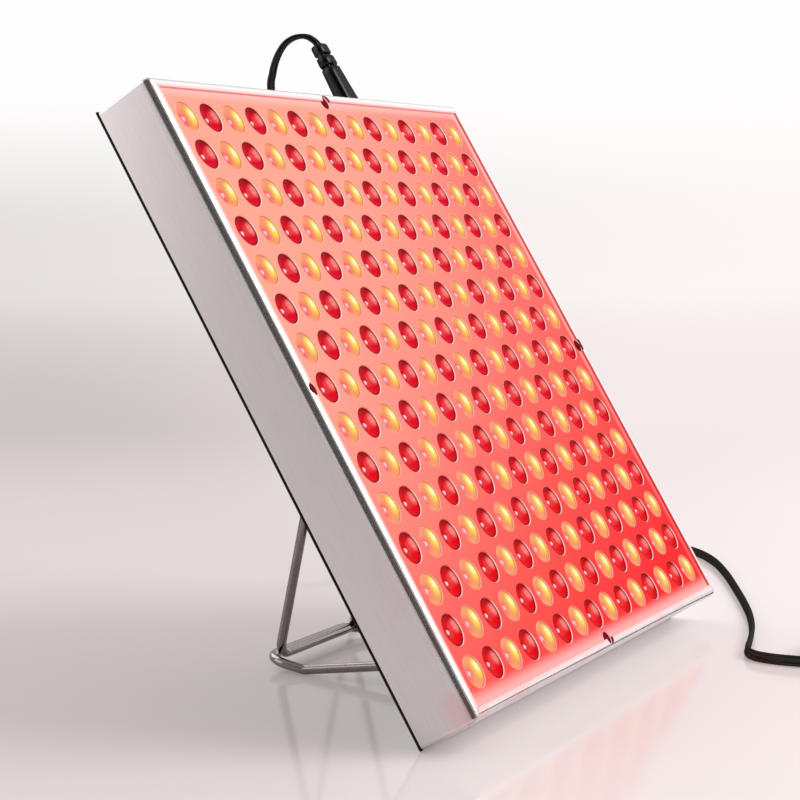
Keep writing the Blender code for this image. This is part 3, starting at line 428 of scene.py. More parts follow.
def makeCupGlow():
    # the cups' glossy walls, lit from their lamps: amber ones burn out to yellow, red ones stay deep
    made, tree, shader = newMaterial("litCupWall", "120305", 0.25)
    x, y, away, isRed, height = cupSpace(tree)
    foot = formula(tree, (height, 230.0, 20.0))
    bearing = formula(tree, ("ARCTAN2", y, ("ABSOLUTE", x)))
    # painted highlight: fine rays round each lamp, where the polished wall mirrors it
    spoke = formula(tree, ("MULTIPLY", bearing, 9.0))
    ray = addNode(
        tree, "ShaderNodeTexNoise", {"W": spoke, "Scale": 1.0, "Detail": 2.0}, noise_dimensions="1D",
    )
    paintedRays = formula(tree, (ray, 0.35, 0.65, 0.7, 1.0))

    def spot(far, turn, wide, long):
        # a soft patch of light, placed and sized by distance in cup radii and by bearing
        dx = formula(tree, ("DIVIDE", ("SUBTRACT", away, far), wide))
        dy = formula(tree, ("DIVIDE", ("SUBTRACT", bearing, turn), long))
        inside = formula(tree, (("ADD", ("MULTIPLY", dx, dx), ("MULTIPLY", dy, dy)), 1.0, 0.0))
        return formula(tree, ("MULTIPLY", inside, inside))

    # painted light and shade: yellow and white spots and rays of highlight, peach towards the top, foot and
    # edge, a darker ring at the mouth
    amber = layered(
        tree, "F25E68",
        ("FD9E6C", (away, 0.26, 0.75)), ("FA9A78", (y, 0.15, 0.95)), ("FCA870", foot, 0.25),
        ("FFCC50", spot(0.85, 0.15, 0.36, 1.25)),
        ("FFEC66", spot(0.86, 0.25, 0.22, 1.0), paintedRays),
        ("FFFDD8", spot(0.85, 0.3, 0.13, 0.6), 0.9),
        ("FD9A70", (y, -0.3, -0.9), 0.6), ("C86048", (away, 0.92, 0.99), 0.7),
    )
    # painted light and shade: pale spots and rays of highlight, painted shade at the top, the bottom, round
    # the lamp and at the mouth
    red = layered(
        tree, "DE0226",
        ("EC000A", foot),
        ("FF5858", spot(0.72, 0.3, 0.42, 0.95), paintedRays, 0.6),
        ("FF9088", spot(0.86, 0.28, 0.24, 0.75), paintedRays),
        ("94040C", (y, 0.35, 1.0), 0.95), ("A4000A", (y, -0.6, -1.0), 0.9),
        ("A80010", (away, 0.5, 0.3), 0.6), ("6C0008", (away, 0.88, 0.98), 0.75),
    )
    fill(tree, shader, {
        "Emission Color": layered(tree, amber, (red, isRed)), "Emission Strength": 0.97,
        "Specular IOR Level": 0.05,
    })
    return made


def makeRimGlow():
    # the cups' rounded lips, glowing, with a painted highlight: a thin pale line on their right side, paler
    # all round on the amber ones
    made, tree, shader = newMaterial("litCupLip", "1A0A0A", 0.3)
    x, y, _, isRed, height = cupSpace(tree)
    plain = layered(tree, "F59A88", ("EC3A3E", (height, 290.0, 30.0)))
    bright = formula(tree, (("ADD", ("MULTIPLY", x, 0.85), ("MULTIPLY", y, -0.45)), 0.05, 0.7))
    red = layered(tree, plain, ("FFE4DE", bright, 0.75))
    amber = layered(tree, plain, ("FFC8A8", ("ADD", ("MULTIPLY", bright, 0.35), 0.35)))
    fill(tree, shader, {
        "Emission Color": layered(tree, amber, (red, isRed)), "Emission Strength": 0.95,
        "Specular IOR Level": 0.07,
    })
    return made


def makeDomeGlow():
    # clear silicone domes over the chips, lit from below
    made, tree, shader = newMaterial("litSiliconeDome", "200408", 0.1)
    _, _, away, isRed, _ = cupSpace(tree)
    top = formula(tree, (away, 0.2, 0.07))
    red, amber = layered(tree, "D02038", ("FFD2DA", top)), layered(tree, "F4868C", ("FFCCD0", top))
    fill(tree, shader, {
        "Emission Color": layered(tree, amber, (red, isRed)), "Emission Strength": 0.95,
        "Specular IOR Level": 0.15,
    })
    return made


def makeGrained(name, colour, second, roughness, metallic, size, depth, shine=0, **sockets):
    # a finish with a fine grain of one size in millimetres: two tones, a little bump, uneven gloss;
    # shine is an even share of mirror gloss, for waxy plastics that stay dark when seen edge on
    made, tree, shader = newMaterial(name, colour, roughness, metallic, **sockets)
    where = addNode(tree, "ShaderNodeTexCoord", out="Object")
    where = addNode(tree, "ShaderNodeMapping", {0: where, 3: (1 / mm, 1 / mm, 1 / mm)})
    grain, broad = (
        addNode(tree, "ShaderNodeTexNoise", {"Vector": where, "Scale": scale, "Detail": detail})
        for scale, detail in ((1 / size, 3.0), (1 / (size * 18), 2.0))
    )
    fill(tree, shader, {
        "Base Color": layered(tree, colour, (second, (grain, 0.35, 0.65)), (second, (broad, 0.4, 0.7), 0.4)),
        "Roughness": formula(tree, (broad, 0.3, 0.7, roughness * 0.85, roughness * 1.2)),
        "Normal": addNode(tree, "ShaderNodeBump", {"Height": grain, "Distance": depth, "Strength": 0.5}),
    })
    if shine:
        gloss = addNode(tree, "ShaderNodeBsdfGlossy", {"Color": linear("FFFFFF"), "Roughness": roughness})
        both = addNode(tree, "ShaderNodeMixShader", (shine, shader.outputs[0], gloss))
        fill(tree, tree.nodes["Material Output"], (both,))
    return made


railMetal, plateGlow, cupGlow = makeRailMetal(), makePlateGlow(), makeCupGlow()
rimGlow, domeGlow = makeRimGlow(), makeDomeGlow()
# black powder coat on sheet: fine orange peel
coverCoat = makeGrained(
    "blackPowderCoat", "050505", "0A0909", 0.42, 0.0, 0.6, 0.00002, Specular_IOR_Level=0.2,
)
# white lacquer over a metal-core board: dark red in the shade of the plate in front of it
boardLacquer = makeGrained("boardLacquer", "54202A", "3A1018", 0.5, 0.0, 2.0, 0.00001)
# drawn steel wire, bright nickel-chrome plate: clear mirror highlights along it
wireChrome = makeGrained("brightChromePlate", "7A7372", "908988", 0.1, 1.0, 0.5, 0.000008)
# cold-rolled strip and cold-headed screws, zinc plated: greyish, half dull
clipZinc = makeGrained("zincPlatedStrip", "8E8C88", "A5A29C", 0.32, 1.0, 0.4, 0.00001)
screwZinc = makeGrained("zincPlatedScrew", "A8A6A2", "BDBAB2", 0.28, 1.0, 0.3, 0.00001)
# soft PVC, extruded: glossy black with a brown cast
cordVinyl = makeGrained(
    "extrudedVinyl", "070303", "0C0606", 0.1, 0.0, 1.2, 0.00001, shine=0.035, Specular_IOR_Level=0,
)
# PVC moulding: slightly duller than the cord, faint spark-eroded grain
plugVinyl = makeGrained(
    "mouldedVinyl", "060505", "0A0808", 0.3, 0.0, 0.5, 0.00003, shine=0.03, Specular_IOR_Level=0,
)
# glass-filled nylon, moulded, and a ribbed nylon tie: dull near-black
inletMould = makeGrained("mouldedNylon", "161616", "202020", 0.45, 0.0, 0.5, 0.00003)
tieNylon = makeGrained("ribbedNylonTie", "1B1B1C", "29292B", 0.4, 0.0, 0.8, 0.00004)
# stamped brass, nickel plated: warm and bright
bladeNickel = makeGrained("nickelPlatedBrass", "C9C3B4", "D8D2C4", 0.22, 1.0, 0.5, 0.00001)
# die-cast zinc: grey, with a sandy skin
keyZinc = makeGrained("castZinc", "8B8C8F", "9C9DA0", 0.45, 1.0, 0.8, 0.00003)
# what the supply board carries: satin green mask, matt dark ferrite, glossy shrunk sleeve, milky nylon
circuitMask = makeGrained("greenSolderMask", "0E5A2C", "137038", 0.35, 0.0, 1.5, 0.00003)
ferriteBlock = makeGrained("sinteredFerrite", "23211F", "302D2A", 0.6, 0.0, 0.7, 0.00005)
sleeveBlue = makeGrained("shrunkSleeve", "11162E", "1A2140", 0.25, 0.0, 3.0, 0.00002)
nylonWhite = makeGrained("naturalNylon", "D5D3C6", "E2E0D4", 0.5, 0.0, 0.7, 0.00002)
# silicone over stranded wire: soft red satin
leadRed = makeGrained("redSilicone", "9A1414", "B01C1C", 0.4, 0.0, 1.0, 0.00001)
print("materials made")

# camera, matched to the photograph through the lamps' grid
cameraSizes = dict(
    place=(-890.4, -368.4 - halfDepth, 220.9), lens=90.94, sensor=36, near=0.05, far=30,
    right=(0.45353, -0.89114, -0.01314), up=(0.0858, 0.02899, 0.99589), back=(-0.8871, -0.4528, 0.08961),
)
camera = bpy.data.objects.new("camera", bpy.data.cameras.new("camera"))
bpy.context.scene.collection.objects.link(camera)
turn = Matrix([cameraSizes[way] for way in ("right", "up", "back")]).transposed().to_quaternion()
camera.matrix_world = Matrix.Translation(Vector(cameraSizes["place"]) * mm) @ turn.to_matrix().to_4x4()
camera.data.lens, camera.data.sensor_width = cameraSizes["lens"], cameraSizes["sensor"]
camera.data.clip_start, camera.data.clip_end = cameraSizes["near"], cameraSizes["far"]
bpy.context.scene.camera = camera

# the flat mains lead
cordSizes = dict(
    width=5.4, thickness=2.8, lobe=125, web=0.62, tube=4.2, length=1800, turns=3.25, stepsPerTurn=24,
    turnGap=0.7, layerGap=1.6, climb=0.5, tail=12, straight=1, gap=0.3, restHeight=2.8,
    liftOnEdge=0.5, liftBelow=60, twist=24, twistFrom=8, twistOver=40, twistBack=85,
)
plugSizes = dict(
    across=62, fromRear=14.6, flange=1.5, gap=0.3, width=14.4, depth=8.9, endWidth=10.4, endDepth=6.6,
    taper=0.85, corner=2.6, soft=0.45, body=26.6, groove=1.5, grooveDepth=1.6, innerRib=5.3, endRib=5.6,
    bridges=((3.4, 7.6), (11.0, 2.2)), bridgeSink=0.6, noseLength=8.8, noseWidth=13, noseDepth=7.8,
    noseCorner=2.2, bore=1.45, boreDepth=9, fromMiddle=4.3,
)
plugBottom = case["height"] + plugSizes["flange"] + 2 * plugSizes["gap"]
plugTop = (
    plugBottom + plugSizes["body"] + 2 * plugSizes["groove"] + plugSizes["innerRib"] + plugSizes["endRib"]
)
# its way from the plug to the coil, the same points as in the solids
cordRoute = [
    (0.0618, 0.1019, 0.3158), (0.0613, 0.1055, 0.3179), (0.0606, 0.1097, 0.3184),
    (0.0597, 0.1139, 0.3174), (0.0587, 0.1178, 0.3148), (0.0579, 0.1209, 0.3106),
    (0.0572, 0.1233, 0.3052), (0.0569, 0.1251, 0.2985), (0.0574, 0.1264, 0.2905),
    (0.0640, 0.1282, 0.2600), (0.0760, 0.1297, 0.2137), (0.0874, 0.1312, 0.1755),
    (0.1007, 0.1330, 0.1380), (0.1166, 0.1351, 0.1015), (0.1360, 0.1376, 0.0668),
    (0.1605, 0.1410, 0.0355), (0.1880, 0.1446, 0.0128), (0.2180, 0.1484, 0.0033),
    (0.2550, 0.1501, 0.0022), (0.2980, 0.1441, 0.0022), (0.3380, 0.1241, 0.0022),
    (0.3640, 0.0921, 0.0022), (0.3740, 0.0541, 0.0022), (0.3700, 0.0181, 0.0022),
    (0.3530, -0.0110, 0.0022), (0.3220, -0.0345, 0.0022), (0.2810, -0.0559, 0.0022),
    (0.2380, -0.0755, 0.0022), (0.1960, -0.0939, 0.0022), (0.1600, -0.1085, 0.0022),
    (0.1260, -0.1200, 0.0022), (0.0960, -0.1280, 0.0022), (0.0780, -0.1324, 0.0022),
    (0.0680, -0.1385, 0.0022), (0.0635, -0.1490, 0.0022), (0.0625, -0.1620, 0.0023),
    (0.0625, -0.1760, 0.0026), (0.0625, -0.1880, 0.0028), (0.0625, -0.1950, 0.0028),
]


def smoothRoute(points, samples):
    chain = [2 * points[0] - points[1]] + points + [2 * points[-1] - points[-2]]
    smooth = []
    for a, b, c, d in zip(chain, chain[1:], chain[2:], chain[3:]):
        for k in range(samples):
            t = k / samples
            smooth.append((
                2 * b + (c - a) * t + (2 * a - 5 * b + 4 * c - d) * t * t
                + (3 * b - a - 3 * c + d) * t * t * t
            ) / 2)
    return smooth + [points[-1]]


def pathLength(points):
    return sum((b - a).length for a, b in zip(points, points[1:]))


def cordPath():
    size = cordSizes
    start = panelPlace @ Vector((plugSizes["across"], plugTop + size["gap"], plugSizes["fromRear"])) / mm
    upright = (panelPlace @ Vector((0, 1, 0)) - panelPlace @ Vector((0, 0, 0))) / mm
    route = [start, start + upright * size["straight"]] + [Vector(p) / mm for p in cordRoute]
    run = smoothRoute(route, 2)
    left = size["length"] - pathLength(run) - size["tail"]
    heading = Vector((0, -1, 0))
    entry = run[-1] + heading * size["gap"]
    # the coil: turns that narrow on the first layer, climb, and widen again on the second
    middle = left / (2 * math.pi * size["turns"])
    turnStep, layerStep = size["tube"] + size["turnGap"], size["tube"] + size["layerGap"]
    inner, outer = (middle + sign * turnStep * size["turns"] / 4 for sign in (-1, 1))
    centre = entry + heading * size["tube"] + Vector((outer, 0, 0))
    wound = []
    steps = round(size["turns"] * size["stepsPerTurn"])
    for k in range(steps + 1):
        turned = k * size["turns"] / steps
        fromMiddle = turned - size["turns"] / 2
        radius = inner + turnStep * abs(fromMiddle)
        angle = math.pi + 2 * math.pi * turned
        wound.append(Vector((
            centre.x + radius * math.cos(angle), centre.y + radius * math.sin(angle),
            size["restHeight"] + layerStep * eased(fromMiddle / size["climb"] + 0.5),
        )))
    wayOut = wound[-1] - wound[-2]
    wayOut.z = 0
    wayOut.normalize()
    ends = [wound[-1] + wayOut * size["tail"] * share for share in (0.5, 1)]
    whole = smoothRoute(route, 5) + smoothRoute([entry] + wound + ends, 2)
    # the flat lead stands on its edge on the table, a little higher than the round one
    for point in whole:
        point.z += size["liftOnEdge"] * min(1, max(0, 1 - point.z / size["liftBelow"]))
    return whole, wayOut, ends[-1], centre, middle


def cordSection():
    # two round cores side by side, joined by a thin web
    radius, web = cordSizes["thickness"] / 2, cordSizes["thickness"] / 2 * cordSizes["web"]
    right = arcPoints((cordSizes["width"] / 2 - radius, 0), radius, -cordSizes["lobe"], cordSizes["lobe"], 10)
    return right + [(0, web)] + [(-x, -y) for x, y in right] + [(0, -web)]


def cordTwists(points):
    # the flat lead turns a little on its way over the top edge, and back again behind the panel
    size = cordSizes
    gone, twists = 0.0, []
    for k, here in enumerate(points):
        gone += (here - points[k - 1]).length if k else 0
        rise = eased((gone - size["twistFrom"]) / size["twistOver"])
        fall = eased((gone - size["twistBack"]) / size["twistOver"] / 2)
        twists.append(math.radians(size["twist"]) * (rise - fall))
    return twists


cordLine, plugWay, plugPlace, coilCentre, coilRadius = cordPath()
mainsCord = piece(
    "mainsCord", sweep(cordLine, cordSection(), (1, 0, 0), cordTwists(cordLine)), cordVinyl, "panel",
    ["cord_run", "cord_coil"], tableScale, 50,
)
print("cord made, mm:", round(pathLength(cordLine)))


def makeInletPlug():
    # the moulded plug: a tapering body, two slotted strain-relief ribs, and the nose in the inlet
    size = plugSizes

    def section(height, width, depth, corner):
        outline = roundedRectangle(width, depth, corner)
        return [(size["across"] + x, height, size["fromRear"] + z) for x, z in outline]

    def ring(height, narrower=0.0):
        share = ((height - plugBottom) / (plugTop - plugBottom)) ** size["taper"]
        width = size["width"] + (size["endWidth"] - size["width"]) * share - 2 * narrower
        depth = size["depth"] + (size["endDepth"] - size["depth"]) * share - 2 * narrower
        return section(height, width, depth, min(size["corner"], depth / 2 - 0.2))

    soft, edge = size["soft"], size["soft"] * 0.6
    place = bodyTop = plugBottom + size["body"]
    rings = [
        section(height, size["noseWidth"], size["noseDepth"], size["noseCorner"])
        for height in (plugBottom - size["noseLength"], plugBottom)
    ]
    rings += [ring(plugBottom + (size["body"] - soft) * k / 8) for k in range(9)] + [ring(bodyTop, edge)]
    for rib in (size["innerRib"], size["endRib"]):
        rings += [ring(place, size["grooveDepth"]), ring(place + size["groove"], size["grooveDepth"])]
        place += size["groove"]
        rings += [ring(place, edge), ring(place + soft), ring(place + rib - soft), ring(place + rib, edge)]
        place += rib
    mesh = meshOf(loft(rings))
    # bridges across the slots: at the faces in one, at the edges in the other
    x, z, sink = size["across"], size["fromRear"], size["bridgeSink"]
    starts = (bodyTop, bodyTop + size["groove"] + size["innerRib"])
    for start, (wide, deep) in zip(starts, size["bridges"]):
        low = (x - wide / 2, start - sink, z - deep / 2)
        mesh = cut(mesh, blockMesh(low, (x + wide / 2, start + size["groove"] + sink, z + deep / 2)), "UNION")
    outline = circlePoints(size["bore"], 16)
    bore = meshOf(loft([[(a, height, b) for a, b in outline] for height in (-1, size["boreDepth"])]))
    places = [(x + side * size["fromMiddle"], plugBottom - size["noseLength"], z) for side in (-1, 1)]
    mesh = cut(mesh, setOnPoints(bore, places, plugVinyl))
    return piece("inletPlug", mesh, plugVinyl, "panel", ["inlet_plug"], panelPlace)


def makeMainsPlug():
    # the two-blade plug at the far end: a sleeve, a waist and a flat rounded body
    size = dict(
        sleeve=8.4, neck=9, shoulder=13.5, length=39, width=24, waist=0.6,
        slotDepth=6.3, slotThickness=2.1, slotWidth=6.9, fromMiddle=6.35,
    )
    sleeve, waist, length = size["sleeve"], size["waist"], size["length"]
    width, height = size["width"], 2 * plugPlace.z
    # each ring: how far along, how wide, how high, its corners
    outlines = (
        (0.3, sleeve * 0.8, sleeve * 0.7, 2.6), (4, sleeve, sleeve, 3.2),
        (size["neck"], width * waist, height * waist, 3.4),
        (size["shoulder"] - 1.5, width * 0.9, height * 0.9, 4), (size["shoulder"], width, height, 4),
        (length - 8, width, height, 4), (length - 1, width * 0.98, height * 0.98, 4),
        (length, width * 0.92, height * 0.9, 3.6),
    )
    mesh = meshOf(loft([
        [(along, y, z) for y, z in roundedRectangle(*outline)] for along, *outline in outlines
    ]))
    slot = blockMesh(
        (-size["slotDepth"], -size["slotThickness"] / 2, -size["slotWidth"] / 2),
        (2, size["slotThickness"] / 2, size["slotWidth"] / 2),
    )
    places = [(length, side * size["fromMiddle"], 0) for side in (-1, 1)]
    mesh = cut(mesh, setOnPoints(slot, places, plugVinyl))
    heading = Matrix.Rotation(math.atan2(plugWay.y, plugWay.x), 4, "Z")
    place = tableScale @ Matrix.Translation(plugPlace) @ heading
    return piece("mainsPlug", mesh, plugVinyl, "panel", ["mains_plug"], place)


def makeCoilTie():
    # a flat nylon tie round the coil's turns
    size = dict(width=4, thickness=0.4, half=13.5, low=0.04, high=12.6, corner=3.0, angle=-62)
    around = roundedRectangle(2 * size["half"], size["high"] - size["low"], size["corner"], 5)
    middle = Vector((coilRadius, 0, (size["high"] + size["low"]) / 2))

    def nearer(value, inset):
        return value - math.copysign(min(inset, abs(value)), value)

    bm = bmesh.new()
    loops = [
        [bm.verts.new(middle + Vector((nearer(x, inset), side, nearer(z, inset)))) for x, z in around]
        for side in (-size["width"] / 2, size["width"] / 2) for inset in (0, size["thickness"])
    ]
    count = len(around)
    for a, b in ((0, 1), (1, 3), (3, 2), (2, 0)):
        for k in range(count):
            n = (k + 1) % count
            bm.faces.new((loops[a][k], loops[a][n], loops[b][n], loops[b][k]))
    turned = Matrix.Rotation(math.radians(size["angle"]), 4, "Z")
    place = tableScale @ Matrix.Translation((coilCentre.x, coilCentre.y, 0)) @ turned
    return piece("coilTie", meshOf(bm), tieNylon, "panel", (), place)


inletPlug, mainsPlug, coilTie = makeInletPlug(), makeMainsPlug(), makeCoilTie()
print("plugs made")

# the frame's four rails
# in a rail's section, sizes across are measured inwards from the case's side
railSizes = dict(
    wall=1.6, lip=5.6, lipThickness=1.2, rounding=3.7, ledge=5, ledgeFront=23.6, ledgeBack=22.4, flange=9,
    flangeFront=3.0, back=1.5, planCorner=2, seam=0.12, edge=0.25, holeRadius=3.6, holeCut=(28, 34),
    inletFrom=(53.2, 305, 9.0), inletTo=(70.8, 312, 20.2),
)


def railSection():
    size = railSizes
    depth, rounding, edge = case["depth"], size["rounding"], size["edge"]
    lipBack = depth - size["lipThickness"]
    return [(0, size["back"])] + arcPoints((rounding, depth - rounding), rounding, 180, 90, 9) + [
        (size["lip"] - edge, depth), (size["lip"], depth - edge), (size["lip"], lipBack),
        (size["wall"], lipBack), (size["wall"], size["ledgeFront"]), (size["ledge"], size["ledgeFront"]),
        (size["ledge"], size["ledgeBack"]), (size["wall"], size["ledgeBack"]),
        (size["wall"], size["flangeFront"]), (size["flange"], size["flangeFront"]),
        (size["flange"], size["back"]),
    ]


def makeRail(name, node, quarterTurns, opening=None):
    size, half = railSizes, case["width"] / 2
    section = railSection()

    def endRing(side, angle):
        # one of the rings at a rail's end, which together make the mitre and round the case's corner
        ring = []
        for inward, z in section:
            radius, base = max(size["planCorner"] - inward, 0), max(size["planCorner"], inward)
            x = half - base + radius * math.sin(angle) - size["seam"]
            ring.append((side * x, -half + base - radius * math.cos(angle), z))
        return ring

    angles = [math.radians(a) for a in (45, 30, 15, 0)]
    bm = loft([endRing(-1, a) for a in angles] + [endRing(1, a) for a in reversed(angles)], False, False)
    bmesh.ops.remove_doubles(bm, verts=bm.verts, dist=0.0005)
    bmesh.ops.dissolve_degenerate(bm, edges=bm.edges, dist=0.0005)
    bmesh.ops.holes_fill(bm, edges=[e for e in bm.edges if e.is_boundary], sides=0)
    bmesh.ops.recalc_face_normals(bm, faces=bm.faces)
    # half of a hanging hole, through the lip only
    mesh = cut(toMesh(bm), cylinder((0, -half + size["lip"]), size["holeRadius"], *size["holeCut"]))
    turned = Matrix.Rotation(quarterTurns * math.pi / 2, 4, "Z")
    mesh.transform(Matrix.Translation((0, case["height"] / 2, 0)) @ turned)
    if opening:
        mesh = cut(mesh, opening)
    return piece(name, mesh, railMetal, "panel", [node], panelPlace, 28)


makeRail("railFoot", "frame_bottom", 0)
makeRail("railRight", "frame_right", 1)
makeRail("railTop", "frame_top", 2, blockMesh(railSizes["inletFrom"], railSizes["inletTo"]))
makeRail("railLeft", "frame_left", 3)
print("rails made")

# the reflector plate with its cups, and the lamp board behind it
plateSizes = dict(
    front=30, back=25.8, inset=2.1, sides=20, lip=0.35, wallRings=4, windowTop=26.1, curve=1.5,
    holeCut=(22, 32),
)
boardSizes = dict(front=25.5, back=23.9, edge=0.2, dome=2.3, skirt=0.6, sink=0.3, sides=12)


def squareRing(half, z, perSide):
    corners = [(1, 1), (-1, 1), (-1, -1), (1, -1)]
    ring = []
    for (ax, ay), (bx, by) in zip(corners, corners[1:] + corners[:1]):
        for k in range(perSide):
            t = k / perSide
            ring.append((half * (ax + (bx - ax) * t), half * (ay + (by - ay) * t), z))
    return ring


def facingForward(bm):
    # an open shell whose foremost faces look forward
    bmesh.ops.recalc_face_normals(bm, faces=bm.faces)
    if max(bm.faces, key=lambda face: face.calc_center_median().z).normal.z < 0:
        bmesh.ops.reverse_faces(bm, faces=bm.faces)
    return toMesh(bm)


def markCells(mesh, low=0, high=0):
    # faces with their middle between two heights get the cell's finish
    mark = mesh.attributes.new("isCell", "BOOLEAN", "FACE")
    mark.data.foreach_set("value", [low < face.center.z < high for face in mesh.polygons])
    return mesh


def overLamps(cell, border, fieldFinish, cellFinish):
    mesh = runTree(overGrid, {
        "Cell": helper(cell), "Border": helper(border), "Lamps per side": lamps["count"],
        "Pitch": lamps["pitch"], "Field finish": fieldFinish, "Cell finish": cellFinish,
    })
    mesh.transform(Matrix.Translation((0, case["height"] / 2, 0)))
    return mesh


def makePlate():
    size, half, quarter = plateSizes, lamps["pitch"] / 2, plateSizes["sides"] // 4
    front, back, lip = size["front"], size["back"], size["lip"]
    window, mouth = lamps["windowRadius"], lamps["cupRadius"]

    def ring(radius, z):
        return [(x, y, z) for x, y in circlePoints(radius, size["sides"], 45)]

    rings = [squareRing(half, back, quarter), ring(window, back)]
    rise = front - lip - size["windowTop"]
    for k in range(size["wallRings"] + 1):
        share = k / size["wallRings"]
        height = size["windowTop"] + rise * share ** size["curve"]
        rings.append(ring(window + (mouth - window) * share, height))
    rings += [ring(mouth + lip * 0.35, front - lip * 0.3), ring(mouth + lip, front)]
    rings.append(squareRing(half, front, quarter))
    cell = markCells(facingForward(loft(rings, False, False)), back + 0.01, front - 0.01)
    inner, outer = half * lamps["count"], case["width"] / 2 - size["inset"]
    border = markCells(facingForward(loft([
        squareRing(reach, z, lamps["count"] * quarter)
        for reach, z in ((inner, back), (outer, back), (outer, front), (inner, front))
    ], False, False)))
    mesh = overLamps(cell, border, plateGlow, cupGlow)
    # the other halves of the hanging holes
    reach, middle = case["width"] / 2 - railSizes["lip"], case["height"] / 2
    places = [(x * reach, middle + y * reach, 0) for x, y in ((0, 1), (0, -1), (1, 0), (-1, 0))]
    hole = cylinder((0, 0), railSizes["holeRadius"], *size["holeCut"])
    mesh = cut(mesh, setOnPoints(hole, places, plateGlow))
    # the cups' lips get a finish of their own, picked by their height
    mesh.materials.append(rimGlow)
    last = len(mesh.materials) - 1
    for face in mesh.polygons:
        if mesh.materials[face.material_index] == cupGlow and face.center.z > front - lip - 0.02:
            face.material_index = last
    return piece("reflectorPlate", mesh, None, "panel", ["reflector_plate"], panelPlace, 24)


def makeBoard():
    size, sides, radius = boardSizes, boardSizes["sides"], lamps["domeRadius"]
    base, crown = size["front"] + size["skirt"], size["dome"] - size["skirt"]
    outlines = [(radius, size["front"] - size["sink"])]
    for tilt in (0, 40.5, 72):
        turn = math.radians(tilt)
        outlines.append((radius * math.cos(turn), base + crown * math.sin(turn)))
    bm = loft([[(x, y, z) for x, y in circlePoints(wide, sides)] for wide, z in outlines], True, False)
    last = list(bm.verts)[-sides:]
    tip = bm.verts.new((0, 0, size["front"] + size["dome"]))
    for k in range(sides):
        bm.faces.new((last[k], last[(k + 1) % sides], tip))
    dome = markCells(meshOf(bm), 0, case["depth"])
    outer = case["width"] / 2 - plateSizes["inset"]
    board = blockMesh((-outer, -outer, size["back"]), (outer, outer, size["front"]))
    mesh = overLamps(dome, markCells(softened(board, size["edge"])), boardLacquer, domeGlow)
    return piece("lampBoard", mesh, None, "panel", ["lamp_board"], panelPlace)


makePlate()
makeBoard()
print("plate and lamps made")

# the rear cover, its screws, and the clips that hold the wires
coverSizes = dict(
    thickness=1.2, edge=0.22, ventLength=26, ventWidth=3.2, ventPitch=9, rows=5, spacing=70, across=20,
    up=226, screwEdge=6.5, holeRadius=1.65, holeCut=(-1, 3),
)
standSizes = dict(
    across=-5, wire=4.8, edge=0.5, gap=0.3, standOff=4.2, pin=18, endBend=6, strutHinge=187.6,
    strutLength=157.4, strutHalf=38.7, strutCorner=8, loopHinge=20.5, heel=102.5, toe=22.5, rise=18,
    loopHalf=44, loopCorner=12, heelBend=10, floorGap=0.02,
)
clipSizes = dict(
    width=9, sheet=1, edge=0.18, clearance=0.4, foot=7.5, sideGap=1, seat=0.3, holeCut=(-4, 2),
)
screwSizes = dict(
    head=2.8, headHeight=1.7, shank=1.3, slot=0.5, slotLength=3.2, slotFloor=0.9, seat=0.3,
    coverLength=4.4, clipLength=4.6,
)


def coverScrewPlaces():
    edge, half, height = coverSizes["screwEdge"], case["width"] / 2, case["height"]
    places = []
    for along in (-half / 2, half / 2):
        places += [(along, edge), (along, height - edge)]
        places += [(edge - half, half + along), (half - edge, half + along)]
    return places


def clipPlaces():
    reach = standSizes["endBend"] + clipSizes["sideGap"] + clipSizes["width"] / 2
    return [
        (standSizes["across"] + side * (standSizes[wire + "Half"] + reach), standSizes[wire + "Hinge"])
        for wire in ("strut", "loop") for side in (-1, 1)
    ]


def clipScrewPlaces():
    offset = standSizes["wire"] / 2 + clipSizes["clearance"] + clipSizes["sheet"] + clipSizes["foot"] / 2
    return [(x, y + way * offset) for x, y in clipPlaces() for way in (-1, 1)]


def makeCover():
    size, half = coverSizes, case["width"] / 2
    sheet = blockMesh((-half, 0, 0), (half, case["height"], size["thickness"]))
    radius, middleRow = size["ventWidth"] / 2, (size["rows"] - 1) / 2
    outline = [
        point for side, start in ((1, -90), (-1, 90))
        for point in arcPoints((side * (size["ventLength"] / 2 - radius), 0), radius, start, start + 180, 9)
    ]
    vents = [
        (side * size["spacing"] / 2 + size["across"], size["up"] + (row - middleRow) * size["ventPitch"], 0)
        for side in (-1, 1) for row in range(size["rows"])
    ]
    holes = [(x, y, 0) for x, y in coverScrewPlaces() + clipScrewPlaces()]
    vent = prism(outline, -1, size["thickness"] + 1)
    hole = cylinder((0, 0), size["holeRadius"], *size["holeCut"], 16)
    sheet = cut(cut(sheet, setOnPoints(vent, vents, coverCoat)), setOnPoints(hole, holes, coverCoat))
    sheet = softened(sheet, size["edge"])
    return piece("rearCover", sheet, coverCoat, "panel", ["rear_cover"], panelPlace, 32)


def makeScrews(name, places, seat, length, label):
    size = screwSizes
    head, shank, tall = size["head"], size["shank"], size["headHeight"]
    profile = [
        (0.001, length), (shank * 0.8, length), (shank, length - 0.5), (shank, 0), (head, 0), (head, -0.5),
        (head * 0.86, -tall * 0.8), (head * 0.45, -tall), (0.001, -tall),
    ]
    mesh = meshOf(loft([[(x, y, z) for x, y in circlePoints(radius, 18)] for radius, z in profile]))
    # the cross recess
    for wide, deep in ((size["slotLength"], size["slot"]), (size["slot"], size["slotLength"])):
        mesh = cut(mesh, blockMesh((-wide / 2, -deep / 2, -3), (wide / 2, deep / 2, -size["slotFloor"])))
    mesh = setOnPoints(mesh, [(x, y, seat) for x, y in places], screwZinc)
    replaced = [f"{label}_{k + 1}" for k in range(len(places))]
    return piece(name, mesh, screwZinc, "panel", replaced, panelPlace)


